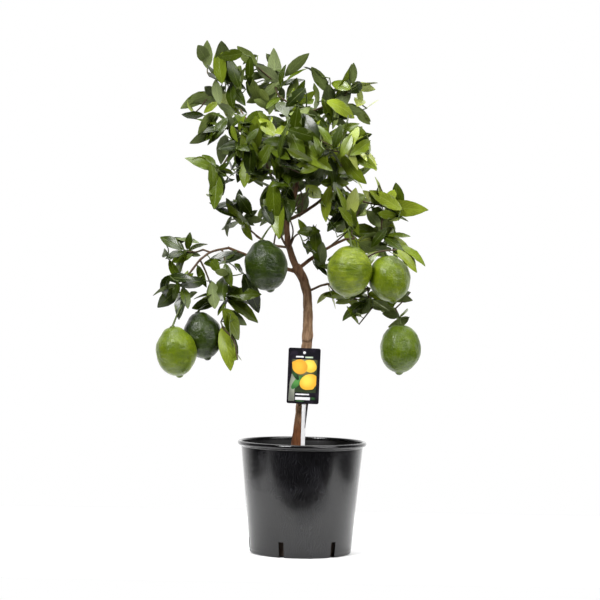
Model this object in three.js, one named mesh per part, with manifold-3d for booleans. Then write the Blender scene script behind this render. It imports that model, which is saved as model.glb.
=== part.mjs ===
// A young lemon tree in its nursery pot, with a picture label on a stake.
//
// Millimetres, +Z up. The origin is the middle of the pot's flat underside, +X is to the right and -Y is
// the front. The pot holds compost up to the ground level, the trunk stands on that with a flat cut foot,
// and boughs leave the trunk for separate masses of foliage. Every bough starts on the limb that bears it
// and stops where it enters a mass.

import * as THREE from "three";
import { mergeVertices } from "three/addons/utils/BufferGeometryUtils.js";
import Module from "manifold-3d";

// ---- driving dimensions ----------------------------------------------------------------------------------

const GAP = 0.4; // clear air between neighbouring solids

const POT = {
  height: 181.5,
  rimRadius: 105,
  wallTopRadius: 99.3, // outside, just under the rim
  baseRadius: 83.2, // outside, just over the rounded bottom edge
  wall: 1.6,
  rimDepth: 9, // from the top of the rim to where the wall starts
  edge: 3, // round of the bottom edge
  edgeRound: 0.3, // how square the round of the bottom edge is
  shoulder: 1, // how far the rim's underside stands off the wall
  lipBevel: 1.4, // outside, at the top of the rim
  lipWidth: 3.4, // from the outside of the rim to its inner edge
  segments: 32,
};
// Heights under the top of the rim, as shares of its depth.
const RIM = { shoulder: 0.7, under: 0.55, bulge: 0.3, inner: 0.6 };

// The drainage slots round the pot's foot; the first is this many degrees from the front.
const SLOTS = { count: 6, width: 8.5, height: 25, inward: 12, first: -21.5, past: 2 };

const WALL_FOOT = POT.edge + 1; // where the straight wall starts
const GROUND = POT.height - 23; // top of the compost

const TRUNK = {
  bends: [
    [-9, 0, GROUND - 20],
    [-6, 0, 190],
    [4.5, 0, 330],
    [5.5, 0, 400],
    [1, 0, 436],
    [-14, 0, 463],
  ],
  radius: 8,
  tipRadius: 7,
  flare: 5, // extra radius where the trunk meets the ground
  flareHeight: 26,
  graftHeight: 350, // the swelling where the bud was grafted
  graftBulge: 1.7,
  graftLength: 11,
  sides: 10,
  steps: 15,
};

const LABEL = {
  width: 52,
  height: 90,
  thick: 0.8,
  corner: 3,
  middle: [0.5, -28, 288.5],
  lean: 1.3, // degrees, top to the right
  tail: { right: 9.4, left: 6.3, tip: 5.6, blunt: 0.3, length: 39 }, // the thin black point under the card
};
const STAKE = { width: 7, thick: 1.2, top: 300, depth: 30, x: 1.5, lean: 0.6 };

// A limb leaves the limb it grows on at a share of that one's length, and runs to its tip. The bow is how far
// its middle stands off the straight line. Radii are at its start and at its tip.
const LIMBS = [
  {
    name: "leader",
    on: "trunk",
    at: 1,
    tip: [-31, 5, 545],
    bow: [-6, -1, 0],
    radii: [5.9, 4.4],
    through: true,
  },
  {
    name: "leader_top",
    on: "leader",
    at: 1,
    tip: [-24, 24, 722],
    bow: [16, 0, 0],
    radii: [3.9, 1.8],
    through: true,
  },
  {
    name: "stem_left",
    on: "leader",
    at: 0.96,
    tip: [-88, -12, 676],
    bow: [3, 0, 0],
    radii: [3, 1.9],
    through: true,
  },
  {
    name: "stem_right",
    on: "leader",
    at: 0.94,
    tip: [56, -8, 606],
    bow: [0, 0, -8],
    radii: [3, 1.9],
    through: true,
  },
  {
    name: "stem_back",
    on: "leader",
    at: 0.98,
    tip: [-12, 92, 628],
    bow: [-2, 12, -14],
    radii: [2.9, 1.9],
  },
  {
    name: "stem_front",
    on: "leader",
    at: 0.98,
    tip: [-12, -84, 636],
    bow: [-4, -12, -12],
    radii: [2.7, 1.8],
  },
  {
    name: "twig_left",
    on: "leader",
    at: 0.34,
    tip: [-46, -68, 566],
    bow: [-8, 0, -4],
    radii: [1.9, 1.3],
  },
  {
    name: "twig_right",
    on: "leader",
    at: 0.36,
    tip: [6, -24, 520],
    bow: [-6, 0, 12],
    radii: [1.7, 1.2],
  },
  {
    name: "bough_left",
    on: "trunk",
    at: 0.975,
    tip: [-126, -8, 494],
    bow: [2, 2, -3],
    radii: [3.4, 2.2],
  },
  {
    name: "bough_left_end",
    on: "bough_left",
    at: 1,
    tip: [-196, -24, 430],
    bow: [-6, 2, 16],
    radii: [2.1, 1.5],
  },
  {
    name: "bough_left_tip",
    on: "bough_left_end",
    at: 0.3,
    tip: [-200, 10, 488],
    bow: [0, 4, 4],
    radii: [1.6, 1.2],
  },
  {
    name: "bough_left_inner",
    on: "bough_left_end",
    at: 0.5,
    tip: [-146, -4, 412],
    bow: [0, 6, 4],
    radii: [1.6, 1.2],
  },
  {
    name: "bough_left_upper",
    on: "leader",
    at: 0.42,
    tip: [-112, 22, 548],
    bow: [-2, 4, -14],
    radii: [2, 1.3],
  },
  {
    name: "bough_right",
    on: "trunk",
    at: 0.99,
    tip: [66, -2, 512],
    bow: [0, 0, 5],
    radii: [3.4, 2.1],
  },
  {
    name: "bough_right_end",
    on: "bough_right",
    at: 1,
    tip: [114, 16, 500],
    bow: [0, 0, 5],
    radii: [2, 1.4],
  },
  {
    name: "twig_right_low",
    on: "trunk",
    at: 0.87,
    tip: [122, 22, 424],
    bow: [-8, 0, 16],
    radii: [2, 1.3],
  },
  {
    name: "shoot_top_left",
    on: "stem_left",
    at: 1,
    tip: [-128, 22, 742],
    bow: [4, 0, 2],
    radii: [1.8, 1.2],
  },
  {
    name: "shoot_top_middle",
    on: "leader_top",
    at: 1,
    tip: [-64, 54, 752],
    bow: [6, 4, 4],
    radii: [1.7, 1.2],
  },
  {
    name: "shoot_top_right",
    on: "leader_top",
    at: 0.9,
    tip: [42, 44, 732],
    bow: [0, 0, 6],
    radii: [1.7, 1.2],
  },
  {
    name: "shoot_left_mid",
    on: "stem_left",
    at: 0.62,
    tip: [-146, -52, 606],
    bow: [0, -2, 9],
    radii: [1.6, 1.2],
  },
  {
    name: "shoot_right_outer",
    on: "stem_right",
    at: 1,
    tip: [128, 14, 562],
    bow: [0, 0, -9],
    radii: [1.7, 1.2],
  },
  {
    name: "shoot_right_low",
    on: "twig_right_low",
    at: 1,
    tip: [156, -4, 380],
    bow: [6, 0, 4],
    radii: [1.3, 1.1],
  },
];
const LIMB_SIDES = 6;
const LIMB_STEPS = 4;

// A mass of foliage swells out of a heart, as an ellipsoid of the core's half sizes, into sprays. A spray is
// the way it points in the upright plane, in degrees from +X towards +Z, and how far it reaches from the
// heart; the sprays of a mass lean to the front and to the back in turn.
const MASSES = [
  {
    name: "crown_front",
    heart: [-12, -94, 655],
    core: [50, 40, 48],
    sprays: [[95, 58], [46, 60], [-38, 62], [-125, 64], [172, 56]],
  },
  {
    name: "crown_left",
    heart: [-84, -52, 652],
    core: [42, 42, 46],
    sprays: [[115, 62], [70, 62], [-108, 62], [-142, 54], [176, 56]],
  },
  {
    name: "crown_right",
    heart: [60, -50, 650],
    core: [42, 40, 42],
    sprays: [[-24, 58], [40, 54], [84, 58], [-112, 64], [-60, 62]],
  },
  {
    name: "crown_back",
    heart: [-12, 104, 645],
    core: [54, 42, 54],
    sprays: [[82, 70], [20, 66], [-62, 66], [-135, 66], [150, 66]],
  },
  {
    name: "crown_back_left",
    heart: [-88, 64, 658],
    core: [44, 42, 44],
    sprays: [[118, 62], [178, 62], [-118, 60], [40, 50]],
  },
  {
    name: "crown_back_right",
    heart: [60, 72, 650],
    core: [44, 42, 42],
    sprays: [[60, 60], [0, 54], [-55, 62], [160, 50]],
  },
  {
    name: "crown_heart",
    heart: [-20, 18, 690],
    core: [52, 44, 38],
    sprays: [[95, 50], [20, 62], [165, 62], [-90, 46]],
  },
  {
    name: "crown_low",
    heart: [-44, -72, 582],
    core: [26, 28, 38],
    sprays: [[-92, 72], [-124, 56], [150, 44], [62, 42]],
  },
  {
    name: "crown_low_back",
    heart: [-40, 88, 572],
    core: [34, 32, 36],
    sprays: [[-84, 56], [-140, 50], [20, 50]],
  },
  {
    name: "top_left",
    heart: [-128, 22, 742],
    core: [28, 28, 34],
    sprays: [[100, 92], [126, 84], [156, 52], [-170, 84], [66, 56]],
  },
  {
    name: "top_middle",
    heart: [-64, 54, 752],
    core: [32, 32, 32],
    sprays: [[126, 92], [86, 74], [46, 92], [-172, 42], [8, 46]],
  },
  {
    name: "top_right",
    heart: [42, 44, 732],
    core: [32, 32, 30],
    sprays: [[120, 74], [35, 86], [62, 72], [-14, 66], [-84, 42]],
  },
  {
    name: "top_centre",
    heart: [-22, -46, 722],
    core: [30, 30, 26],
    sprays: [[72, 42], [38, 44], [170, 38], [-84, 32]],
  },
  {
    name: "left_upper",
    heart: [-134, -24, 690],
    core: [28, 30, 24],
    sprays: [[-154, 64], [160, 52], [118, 34], [-40, 44], [30, 40]],
  },
  {
    name: "left_mid",
    heart: [-146, -52, 606],
    core: [24, 24, 24],
    sprays: [[147, 56], [122, 46], [-90, 52], [24, 40], [56, 30]],
  },
  {
    name: "left_low",
    heart: [-112, 22, 550],
    core: [30, 28, 24],
    sprays: [[158, 50], [-134, 38], [-62, 48], [92, 44], [-12, 44]],
  },
  {
    name: "right_mid",
    heart: [60, -38, 562],
    core: [32, 30, 34],
    sprays: [[170, 40], [33, 44], [110, 42], [-56, 52], [-124, 46]],
  },
  {
    name: "right_mid_back",
    heart: [64, 78, 564],
    core: [34, 32, 32],
    sprays: [[110, 46], [20, 46], [-60, 50], [-150, 44]],
  },
  {
    name: "right_outer",
    heart: [128, 14, 562],
    core: [28, 28, 28],
    sprays: [[104, 54], [56, 42], [-2, 68], [-80, 44], [140, 46]],
  },
  {
    name: "under_crown",
    heart: [6, -24, 512],
    core: [15, 18, 18],
    sprays: [[122, 34], [56, 26], [-92, 26], [-56, 52]],
  },
  {
    name: "right_low",
    heart: [110, 20, 508],
    core: [42, 32, 18],
    sprays: [[10, 62], [75, 38], [-20, 94], [150, 46]],
  },
  {
    name: "right_fruiting",
    heart: [104, -40, 455],
    core: [72, 38, 46],
    sprays: [[-144, 56], [171, 74], [6, 74]],
  },
  {
    name: "right_under",
    heart: [124, 24, 412],
    core: [36, 26, 22],
    sprays: [[7, 56], [-36, 44], [-154, 70], [174, 96]],
  },
  {
    name: "right_hanging",
    heart: [156, -8, 336],
    core: [35, 35, 44],
    sprays: [[80, 64]],
  },
  {
    name: "centre_fruiting",
    heart: [-64, -42, 464],
    core: [37, 36, 45],
    sprays: [[176, 48], [70, 50]],
  },
  {
    name: "arm_tip",
    heart: [-200, 12, 486],
    core: [28, 26, 22],
    sprays: [[-178, 50], [146, 48], [70, 34], [-112, 50], [24, 44]],
  },
  {
    name: "arm_mid",
    heart: [-128, -28, 464],
    core: [30, 26, 20],
    sprays: [[-4, 38], [176, 38], [-76, 34], [60, 32]],
  },
  {
    name: "arm_outer",
    heart: [-200, -26, 430],
    core: [28, 26, 28],
    sprays: [[-165, 48], [-138, 54], [-92, 54], [28, 42]],
  },
  {
    name: "arm_low",
    heart: [-142, -4, 408],
    core: [40, 28, 26],
    sprays: [[12, 70], [-25, 78], [74, 42], [-160, 46]],
  },
  {
    name: "arm_hanging",
    heart: [-152, -14, 356],
    core: [38, 34, 34],
    sprays: [[-58, 70], [-38, 60], [30, 46]],
  },
  {
    name: "left_hanging",
    heart: [-200, -44, 328],
    core: [36, 34, 46],
    sprays: [[48, 56], [4, 44]],
  },
];
const SPRAY_LEAN = 20; // degrees
const SPRAY_WIDTH = 24; // degrees
// The unevenness of a mass, as a share of its size and as waves a radian.
const LUMPS = { size: 0.08, across: 9, up: 8 };
const MASS_DETAIL = 2;

// ---- tools -----------------------------------------------------------------------------------------------

const wasm = await Module();
wasm.setup();

const vector = ([x, y, z]) => new THREE.Vector3(x, y, z);
const radians = THREE.MathUtils.degToRad;

function solidOf(geometry) {
  const bare = geometry.clone().deleteAttribute("normal").deleteAttribute("uv");
  const merged = mergeVertices(bare, 1e-3);
  return new wasm.Manifold(
    new wasm.Mesh({
      numProp: 3,
      vertProperties: merged.attributes.position.array,
      triVerts: new Uint32Array(merged.index.array),
    }),
  );
}

function geometryOf(solid) {
  const mesh = solid.getMesh();
  return new THREE.BufferGeometry()
    .setAttribute("position", new THREE.BufferAttribute(mesh.vertProperties, 3))
    .setIndex(new THREE.BufferAttribute(mesh.triVerts, 1));
}

// The largest of the pieces that a cut leaves.
function largest(solid) {
  return solid.decompose().reduce((best, piece) => (piece.volume() > best.volume() ? piece : best));
}

function cutBy(solid, cutters) {
  const cut = cutters.reduce((left, cutter) => left.subtract(cutter), solid);
  return cut.isEmpty() ? cut : largest(cut);
}

// A straight bar bent along a route, its radius set by how far along it is. Grow makes it larger all round.
function bar(route, radiusAt, sides, steps, grow = 0) {
  const geometry = new THREE.CylinderGeometry(1, 1, 1, sides, steps);
  const frames = route.computeFrenetFrames(steps, false);
  const place = geometry.attributes.position;
  for (let i = 0; i < place.count; i += 1) {
    const share = place.getY(i) + 0.5;
    const step = Math.round(share * steps);
    const radius = radiusAt(share) + grow;
    const end = step === 0 ? -grow : step === steps ? grow : 0;
    const point = route
      .getPointAt(share)
      .addScaledVector(frames.normals[step], place.getZ(i) * radius)
      .addScaledVector(frames.binormals[step], place.getX(i) * radius)
      .addScaledVector(frames.tangents[step], end);
    place.setXYZ(i, point.x, point.y, point.z);
  }
  return solidOf(geometry);
}

// ---- pot, compost and label ------------------------------------------------------------------------------

// The radius of the pot's wall, outside, at a height between its bottom edge and its rim.
function wallRadius(height) {
  const top = POT.height - POT.rimDepth;
  return THREE.MathUtils.mapLinear(height, WALL_FOOT, top, POT.baseRadius, POT.wallTopRadius);
}

function turned(points, segments) {
  const profile = points.map(([radius, height]) => new THREE.Vector2(radius, height));
  return solidOf(new THREE.LatheGeometry(profile, segments).rotateX(Math.PI / 2));
}

function pot() {
  const { height, rimRadius, wallTopRadius, baseRadius, wall, rimDepth, edge, edgeRound } = POT;
  const { shoulder, lipBevel, lipWidth, segments } = POT;
  const outside = [
    [0, 0],
    [baseRadius - edge, 0],
    [baseRadius - edge * edgeRound, edge * edgeRound],
    [baseRadius, WALL_FOOT],
    [wallTopRadius, height - rimDepth],
    [wallTopRadius + shoulder, height - rimDepth * RIM.shoulder],
    [rimRadius - GAP, height - rimDepth * RIM.under],
    [rimRadius, height - rimDepth * RIM.bulge],
    [rimRadius - lipBevel, height],
  ];
  const inside = [
    [rimRadius - lipWidth, height],
    [wallTopRadius - wall / 2, height - rimDepth * RIM.inner],
    [wallTopRadius - wall, height - rimDepth],
    [baseRadius - wall, WALL_FOOT],
    [baseRadius - edge, wall],
    [0, wall],
  ];
  const body = turned([...outside, ...inside], segments);
  return cutBy(body, slotCutters());
}

function slotCutters() {
  const { count, width, height, inward, first, past } = SLOTS;
  const reach = inward * 2;
  return Array.from({ length: count }, (_, i) => {
    const block = new THREE.BoxGeometry(width, reach, height + past);
    block.translate(0, inward - reach / 2 - POT.baseRadius, (height - past) / 2);
    return solidOf(block.rotateZ(radians(first + (i * 360) / count)));
  });
}

function compost(stakeSolid) {
  const { baseRadius, wall, edge, segments } = POT;
  const clear = wall + GAP;
  const body = turned(
    [
      [0, clear],
      [baseRadius - edge - GAP, clear],
      [baseRadius - clear, WALL_FOOT + GAP],
      [wallRadius(GROUND) - clear, GROUND],
      [0, GROUND],
    ],
    segments,
  );
  return cutBy(body, [stakeSolid]);
}

function label() {
  const { width, height, thick, corner, middle, lean, tail } = LABEL;
  const [w, h] = [width / 2, height / 2];
  const outline = new THREE.Shape()
    .moveTo(corner - w, -h)
    .lineTo(tail.left, -h)
    .lineTo(tail.tip - tail.blunt, -h - tail.length)
    .lineTo(tail.tip + tail.blunt, -h - tail.length)
    .lineTo(tail.right, -h)
    .lineTo(w - corner, -h)
    .absarc(w - corner, corner - h, corner, -Math.PI / 2, 0)
    .lineTo(w, h - corner)
    .absarc(w - corner, h - corner, corner, 0, Math.PI / 2)
    .lineTo(corner - w, h)
    .absarc(corner - w, h - corner, corner, Math.PI / 2, Math.PI)
    .lineTo(-w, corner - h)
    .absarc(corner - w, corner - h, corner, Math.PI, 1.5 * Math.PI);
  const settings = { depth: thick, bevelEnabled: false, curveSegments: 3 };
  const card = new THREE.ExtrudeGeometry(outline, settings);
  card
    .translate(0, 0, -thick / 2)
    .rotateX(Math.PI / 2)
    .rotateY(radians(lean))
    .translate(...middle);
  return solidOf(card);
}

function stake(grow = 0) {
  const { width, thick, top, depth, x, lean } = STAKE;
  const bottom = GROUND - depth;
  const strip = new THREE.BoxGeometry(width + 2 * grow, thick + 2 * grow, top - bottom + 2 * grow);
  strip.rotateY(radians(lean));
  const behindLabel = LABEL.middle[1] + (LABEL.thick + thick) / 2 + GAP;
  return solidOf(strip.translate(x, behindLabel, (top + bottom) / 2));
}

// ---- trunk and limbs -------------------------------------------------------------------------------------

const routes = new Map();
routes.set("trunk", new THREE.CatmullRomCurve3(TRUNK.bends.map(vector)));

function trunkRadius(share) {
  const { radius, tipRadius, flare, flareHeight, graftHeight, graftBulge, graftLength } = TRUNK;
  const height = routes.get("trunk").getPointAt(share).z;
  const taper = THREE.MathUtils.lerp(radius, tipRadius, Math.max(0, share - 0.5) * 2);
  const foot = flare * Math.exp(-Math.max(0, height - GROUND) / flareHeight);
  const graft = graftBulge * Math.exp(-(((height - graftHeight) / graftLength) ** 2));
  return taper + foot + graft;
}

function trunk(grow = 0) {
  const whole = bar(routes.get("trunk"), trunkRadius, TRUNK.sides, TRUNK.steps, grow);
  const room = 4 * POT.height;
  const air = new THREE.BoxGeometry(room, room, room).translate(0, 0, GROUND + GAP - grow + room / 2);
  return whole.intersect(solidOf(air));
}

function routeOf({ on, at, tip, bow }) {
  const start = routes.get(on).getPointAt(at);
  const end = vector(tip);
  // A curve of this kind passes halfway between its control point and the straight line.
  const middle = start.clone().lerp(end, 0.5).addScaledVector(vector(bow), 2);
  return new THREE.QuadraticBezierCurve3(start, middle, end);
}

function limb({ name, radii: [thick, thin] }, grow = 0) {
  const radiusAt = (share) => THREE.MathUtils.lerp(thick, thin, share);
  return bar(routes.get(name), radiusAt, LIMB_SIDES, LIMB_STEPS, grow);
}

for (const each of LIMBS) routes.set(each.name, routeOf(each));

// ---- foliage ---------------------------------------------------------------------------------------------

// The tip of each spray of a mass, from the heart.
function sprayTips(sprays) {
  return sprays.map(([angle, reach], i) => {
    const [turn, lean] = [radians(angle), radians(i % 2 ? SPRAY_LEAN : -SPRAY_LEAN)];
    return vector([Math.cos(turn), Math.tan(lean), Math.sin(turn)]).multiplyScalar(reach);
  });
}

// How far the surface of a mass stands off its heart along a way.
function reachAlong(way, { heart, core }, tips) {
  const swell = 1 / way.clone().divide(vector(core)).length();
  const across = Math.sin(LUMPS.across * way.x + heart[2]);
  const lump = 1 + LUMPS.size * across * Math.cos(LUMPS.up * way.z + heart[0]);
  return tips.reduce((reach, tip) => {
    const off = THREE.MathUtils.radToDeg(way.angleTo(tip));
    const pull = Math.exp(-((off / SPRAY_WIDTH) ** 2));
    return Math.max(reach, THREE.MathUtils.lerp(swell, tip.length(), pull));
  }, swell * lump);
}

function mass(shape, grow = 0) {
  const ball = new THREE.IcosahedronGeometry(1, MASS_DETAIL);
  const geometry = mergeVertices(ball.deleteAttribute("normal").deleteAttribute("uv"));
  const place = geometry.attributes.position;
  const corner = (_, i) => new THREE.Vector3().fromBufferAttribute(place, i);
  const ways = Array.from({ length: place.count }, corner);
  const tips = sprayTips(shape.sprays);
  // The corner nearest to each spray is turned into its way, so that the mass reaches the spray's very tip.
  for (const tip of tips) {
    const nearest = ways.reduce((best, way) => (way.angleTo(tip) < best.angleTo(tip) ? way : best));
    nearest.copy(tip);
  }
  ways.forEach((way, i) => {
    way.normalize();
    way.multiplyScalar(reachAlong(way, shape, tips) + grow).add(vector(shape.heart));
    place.setXYZ(i, way.x, way.y, way.z);
  });
  return solidOf(geometry);
}

// ---- assembly --------------------------------------------------------------------------------------------

const finish = (color, roughness) => new THREE.MeshStandardMaterial({ color, roughness, metalness: 0 });
const MATERIALS = {
  plastic: finish(0x26262a, 0.42),
  compost: finish(0x2e211a, 0.95),
  bark: finish(0x75553f, 0.85),
  leaf: finish(0x46581f, 0.4),
  card: finish(0x1c1a20, 0.35),
  white: finish(0xe6e6e6, 0.45),
};

const tree = new THREE.Group();

function add(name, solid, material) {
  const mesh = new THREE.Mesh(geometryOf(solid), material);
  mesh.name = name;
  tree.add(mesh);
}

add("pot", pot(), MATERIALS.plastic);
add("compost", compost(stake(GAP)), MATERIALS.compost);
add("label", label(), MATERIALS.card);
add("label_stake", stake(), MATERIALS.white);
add("trunk", trunk(), MATERIALS.bark);

const grownMasses = MASSES.map((each) => mass(each, GAP));
const through = [trunk(GAP), ...LIMBS.filter((each) => each.through).map((each) => limb(each, GAP))];

const grownLimbs = [trunk(GAP)];
for (const each of LIMBS) {
  const ends = each.through ? [] : grownMasses;
  add(each.name, cutBy(limb(each), [...grownLimbs, ...ends]), MATERIALS.bark);
  grownLimbs.push(limb(each, GAP));
}

MASSES.forEach((each, i) => {
  const earlier = grownMasses.slice(0, i);
  add("foliage_" + each.name, cutBy(mass(each), [...earlier, ...through]), MATERIALS.leaf);
});

export default tree;
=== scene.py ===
"""A young lemon tree in a nursery pot, with a picture label on a stake.

Everything is in metres, +Z up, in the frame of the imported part. The bark follows the limbs' own solids,
and in each foliage solid shoots grow on from the nearest wood by a seeded rule, bearing leaves and fruit.
"""

import logging
import math
import random
from dataclasses import dataclass, field
from enum import Enum
from functools import cached_property
from typing import Callable, ClassVar, Iterable, Sequence

import bmesh
import bpy
import numpy as np
from mathutils import Matrix, Vector, noise
from mathutils.bvhtree import BVHTree
from mathutils.geometry import tessellate_polygon

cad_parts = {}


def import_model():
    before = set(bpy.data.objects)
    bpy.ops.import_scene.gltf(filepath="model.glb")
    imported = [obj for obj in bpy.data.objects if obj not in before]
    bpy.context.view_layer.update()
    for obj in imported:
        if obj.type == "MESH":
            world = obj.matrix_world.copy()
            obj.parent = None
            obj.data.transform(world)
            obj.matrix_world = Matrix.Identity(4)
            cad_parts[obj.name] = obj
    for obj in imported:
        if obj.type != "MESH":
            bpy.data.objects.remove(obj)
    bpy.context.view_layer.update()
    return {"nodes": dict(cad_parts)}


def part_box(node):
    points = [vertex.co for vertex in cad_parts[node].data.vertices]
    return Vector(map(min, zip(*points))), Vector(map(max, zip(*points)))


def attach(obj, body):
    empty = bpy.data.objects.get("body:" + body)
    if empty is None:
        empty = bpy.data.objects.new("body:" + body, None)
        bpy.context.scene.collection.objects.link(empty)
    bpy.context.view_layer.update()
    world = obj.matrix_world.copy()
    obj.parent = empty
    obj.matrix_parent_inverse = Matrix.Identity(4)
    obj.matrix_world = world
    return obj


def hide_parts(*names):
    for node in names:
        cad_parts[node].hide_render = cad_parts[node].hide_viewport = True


MM = 0.001
UP = Vector((0, 0, 1))
FRONT = Vector((0, -1, 0))
BODY = "root"
GOLDEN_ANGLE = math.radians(137.5)
SHARP = math.radians(62)
TINY = 1e-6
FOLIAGE = "foliage_"
log = logging.getLogger("lemon_tree")

Colour = tuple[float, float, float]


def blend(low: float, high: float, share: float) -> float:
    """Returns the value a share of the way from low to high."""
    return low + (high - low) * share


def clamp(value: float, low: float = 0.0, high: float = 1.0) -> float:
    """Returns the value kept between two limits."""
    return max(low, min(high, value))


def turn_about(degrees: float, axis: str) -> Matrix:
    """Returns a turn about one axis of the frame."""
    return Matrix.Rotation(math.radians(degrees), 4, axis)


def arc(
    middle: tuple[float, float], radii: tuple[float, float], degrees: Iterable[float]
) -> list[tuple[float, float]]:
    """Lays points round a part of a circle or an oval.

    Args:
        middle: its middle.
        radii: its radius along each of the two directions.
        degrees: how far round each point stands.

    Returns:
        The points.
    """
    angles = [math.radians(turn) for turn in degrees]
    return [
        (middle[0] + radii[0] * math.cos(angle), middle[1] + radii[1] * math.sin(angle)) for angle in angles
    ]


def box(node: str) -> tuple[Vector, Vector]:
    """Returns the lowest and the highest corner of a node's box."""
    low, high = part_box(node)
    return Vector(low), Vector(high)


def flat_to(direction: Vector, axis: Vector) -> Vector:
    """Returns the unit part of a direction that is square to an axis.

    Args:
        direction: the direction to flatten.
        axis: a unit vector.

    Returns:
        A unit vector square to the axis.
    """
    part = direction - axis * direction.dot(axis)
    return part.normalized() if part.length > TINY else axis.orthogonal().normalized()


# ---- shapes --------------------------------------------------------------------------------------


@dataclass
class Shape:
    """The corners and faces of one joined piece, added a little at a time."""

    corners: list[Vector] = field(default_factory=list)
    faces: list[tuple[int, ...]] = field(default_factory=list)
    slots: list[int] = field(default_factory=list)
    places: list[tuple[float, float]] = field(default_factory=list)

    def add(
        self,
        corners: Sequence[Vector],
        faces: Iterable[Sequence[int]],
        slots: int | Sequence[int] = 0,
        places: Sequence[tuple[float, float]] | None = None,
    ) -> None:
        """Adds a set of corners and the faces between them.

        Args:
            corners: the new corners.
            faces: each face as indices into the new corners.
            slots: the material slot of all the faces, or of each.
            places: where each corner lies on the surface, from 0 to 1 each way.
        """
        start = len(self.corners)
        self.corners.extend(corners)
        self.places.extend(places or [(0.0, 0.0)] * len(corners))
        new = [tuple(start + index for index in face) for face in faces]
        self.faces.extend(new)
        self.slots.extend([slots] * len(new) if isinstance(slots, int) else slots)

    def tube(
        self,
        route: Sequence[Vector],
        radii: Sequence[float],
        sides: int,
        slot: int = 0,
        relief: Callable[[Vector], float] | None = None,
    ) -> None:
        """Adds a closed round tube along a route.

        Args:
            route: the points of its centre line.
            radii: the radius at each point.
            sides: the number of sides.
            slot: its material slot.
            relief: how far a corner stands proud, from its own place.
        """
        last = len(route) - 1
        across = None
        rings: list[Vector] = []
        places = []
        for step, point in enumerate(route):
            along = (route[min(step + 1, last)] - route[max(step - 1, 0)]).normalized()
            across = flat_to(across or along.orthogonal(), along)
            beside = along.cross(across)
            for side in range(sides):
                turn = 2 * math.pi * side / sides
                out = across * math.cos(turn) + beside * math.sin(turn)
                corner = point + out * radii[step]
                if relief:
                    corner += out * relief(corner)
                rings.append(corner)
                places.append((side / sides, step / last))
        faces = [
            (step * sides + side, step * sides + (side + 1) % sides,
             (step + 1) * sides + (side + 1) % sides, (step + 1) * sides + side)
            for step in range(last)
            for side in range(sides)
        ]
        faces.append(tuple(reversed(range(sides))))
        faces.append(tuple(last * sides + side for side in range(sides)))
        self.add(rings, faces, slot, places)

    def turned(
        self,
        profile: Sequence[tuple[float, float]],
        sides: int,
        place: Matrix,
        slot: int = 0,
        relief: Callable[[Vector], float] | None = None,
    ) -> None:
        """Adds a closed body turned about its own upright axis.

        Args:
            profile: radius and height pairs that start and end on the axis.
            sides: the number of sides.
            place: where the body goes.
            slot: its material slot.
            relief: how far a corner stands proud along its radius, from its own place.
        """
        corners = [Vector((0, 0, profile[0][1]))]
        places = [(0.5, 0.0)]
        for row, (radius, height) in enumerate(profile[1:-1], 1):
            for side in range(sides):
                turn = 2 * math.pi * side / sides
                out = Vector((math.cos(turn), math.sin(turn), 0))
                corner = out * radius + UP * height
                if relief:
                    corner += out * relief(corner)
                corners.append(corner)
                places.append((side / sides, row / (len(profile) - 1)))
        corners.append(Vector((0, 0, profile[-1][1])))
        places.append((0.5, 1.0))
        rows = len(profile) - 2
        end = len(corners) - 1
        faces: list[tuple[int, ...]] = []
        for side in range(sides):
            beside = (side + 1) % sides
            faces.append((0, 1 + beside, 1 + side))
            for row in range(rows - 1):
                low, high = 1 + row * sides, 1 + (row + 1) * sides
                faces.append((low + side, low + beside, high + beside, high + side))
            top = 1 + (rows - 1) * sides
            faces.append((end, top + side, top + beside))
        if profile[-1][1] < profile[0][1]:
            faces = [tuple(reversed(face)) for face in faces]
        self.add([place @ corner for corner in corners], faces, slot, places)

    def piece(
        self,
        name: str,
        materials: Sequence[bpy.types.Material],
        nodes: Sequence[str],
        slot: str,
        smooth: bool = True,
    ) -> bpy.types.Object:
        """Makes the collected shape into a piece of the model.

        Args:
            name: the piece's name.
            materials: its materials, in the order of its slots.
            nodes: the nodes that it stands for.
            slot: the material slot that its finish belongs to; not used.
            smooth: whether its faces are shaded smooth.

        Returns:
            The new object.
        """
        mesh = bpy.data.meshes.new(name)
        mesh.from_pydata([tuple(corner) for corner in self.corners], [], self.faces)
        for material in materials:
            mesh.materials.append(material)
        mesh.polygons.foreach_set("material_index", self.slots)
        mesh.polygons.foreach_set("use_smooth", [smooth] * len(self.faces))
        layer = mesh.uv_layers.new(name="surface")
        corners = [index for face in self.faces for index in face]
        layer.data.foreach_set("uv", [part for index in corners for part in self.places[index]])
        mesh.validate()
        if smooth:
            mesh.set_sharp_from_angle(angle=SHARP)
        made = bpy.data.objects.new(name, mesh)
        bpy.context.scene.collection.objects.link(made)
        join_model(made, nodes)
        return made


def join_model(made: bpy.types.Object, nodes: Sequence[str]) -> None:
    """Makes an object part of the model and reports it.

    Args:
        made: the object.
        nodes: the nodes that it stands for.
    """
    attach(made, BODY)
    if nodes:
        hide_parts(*nodes)
    log.info("%s: %d faces, for %d nodes", made.name, len(made.data.polygons), len(nodes))


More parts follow.
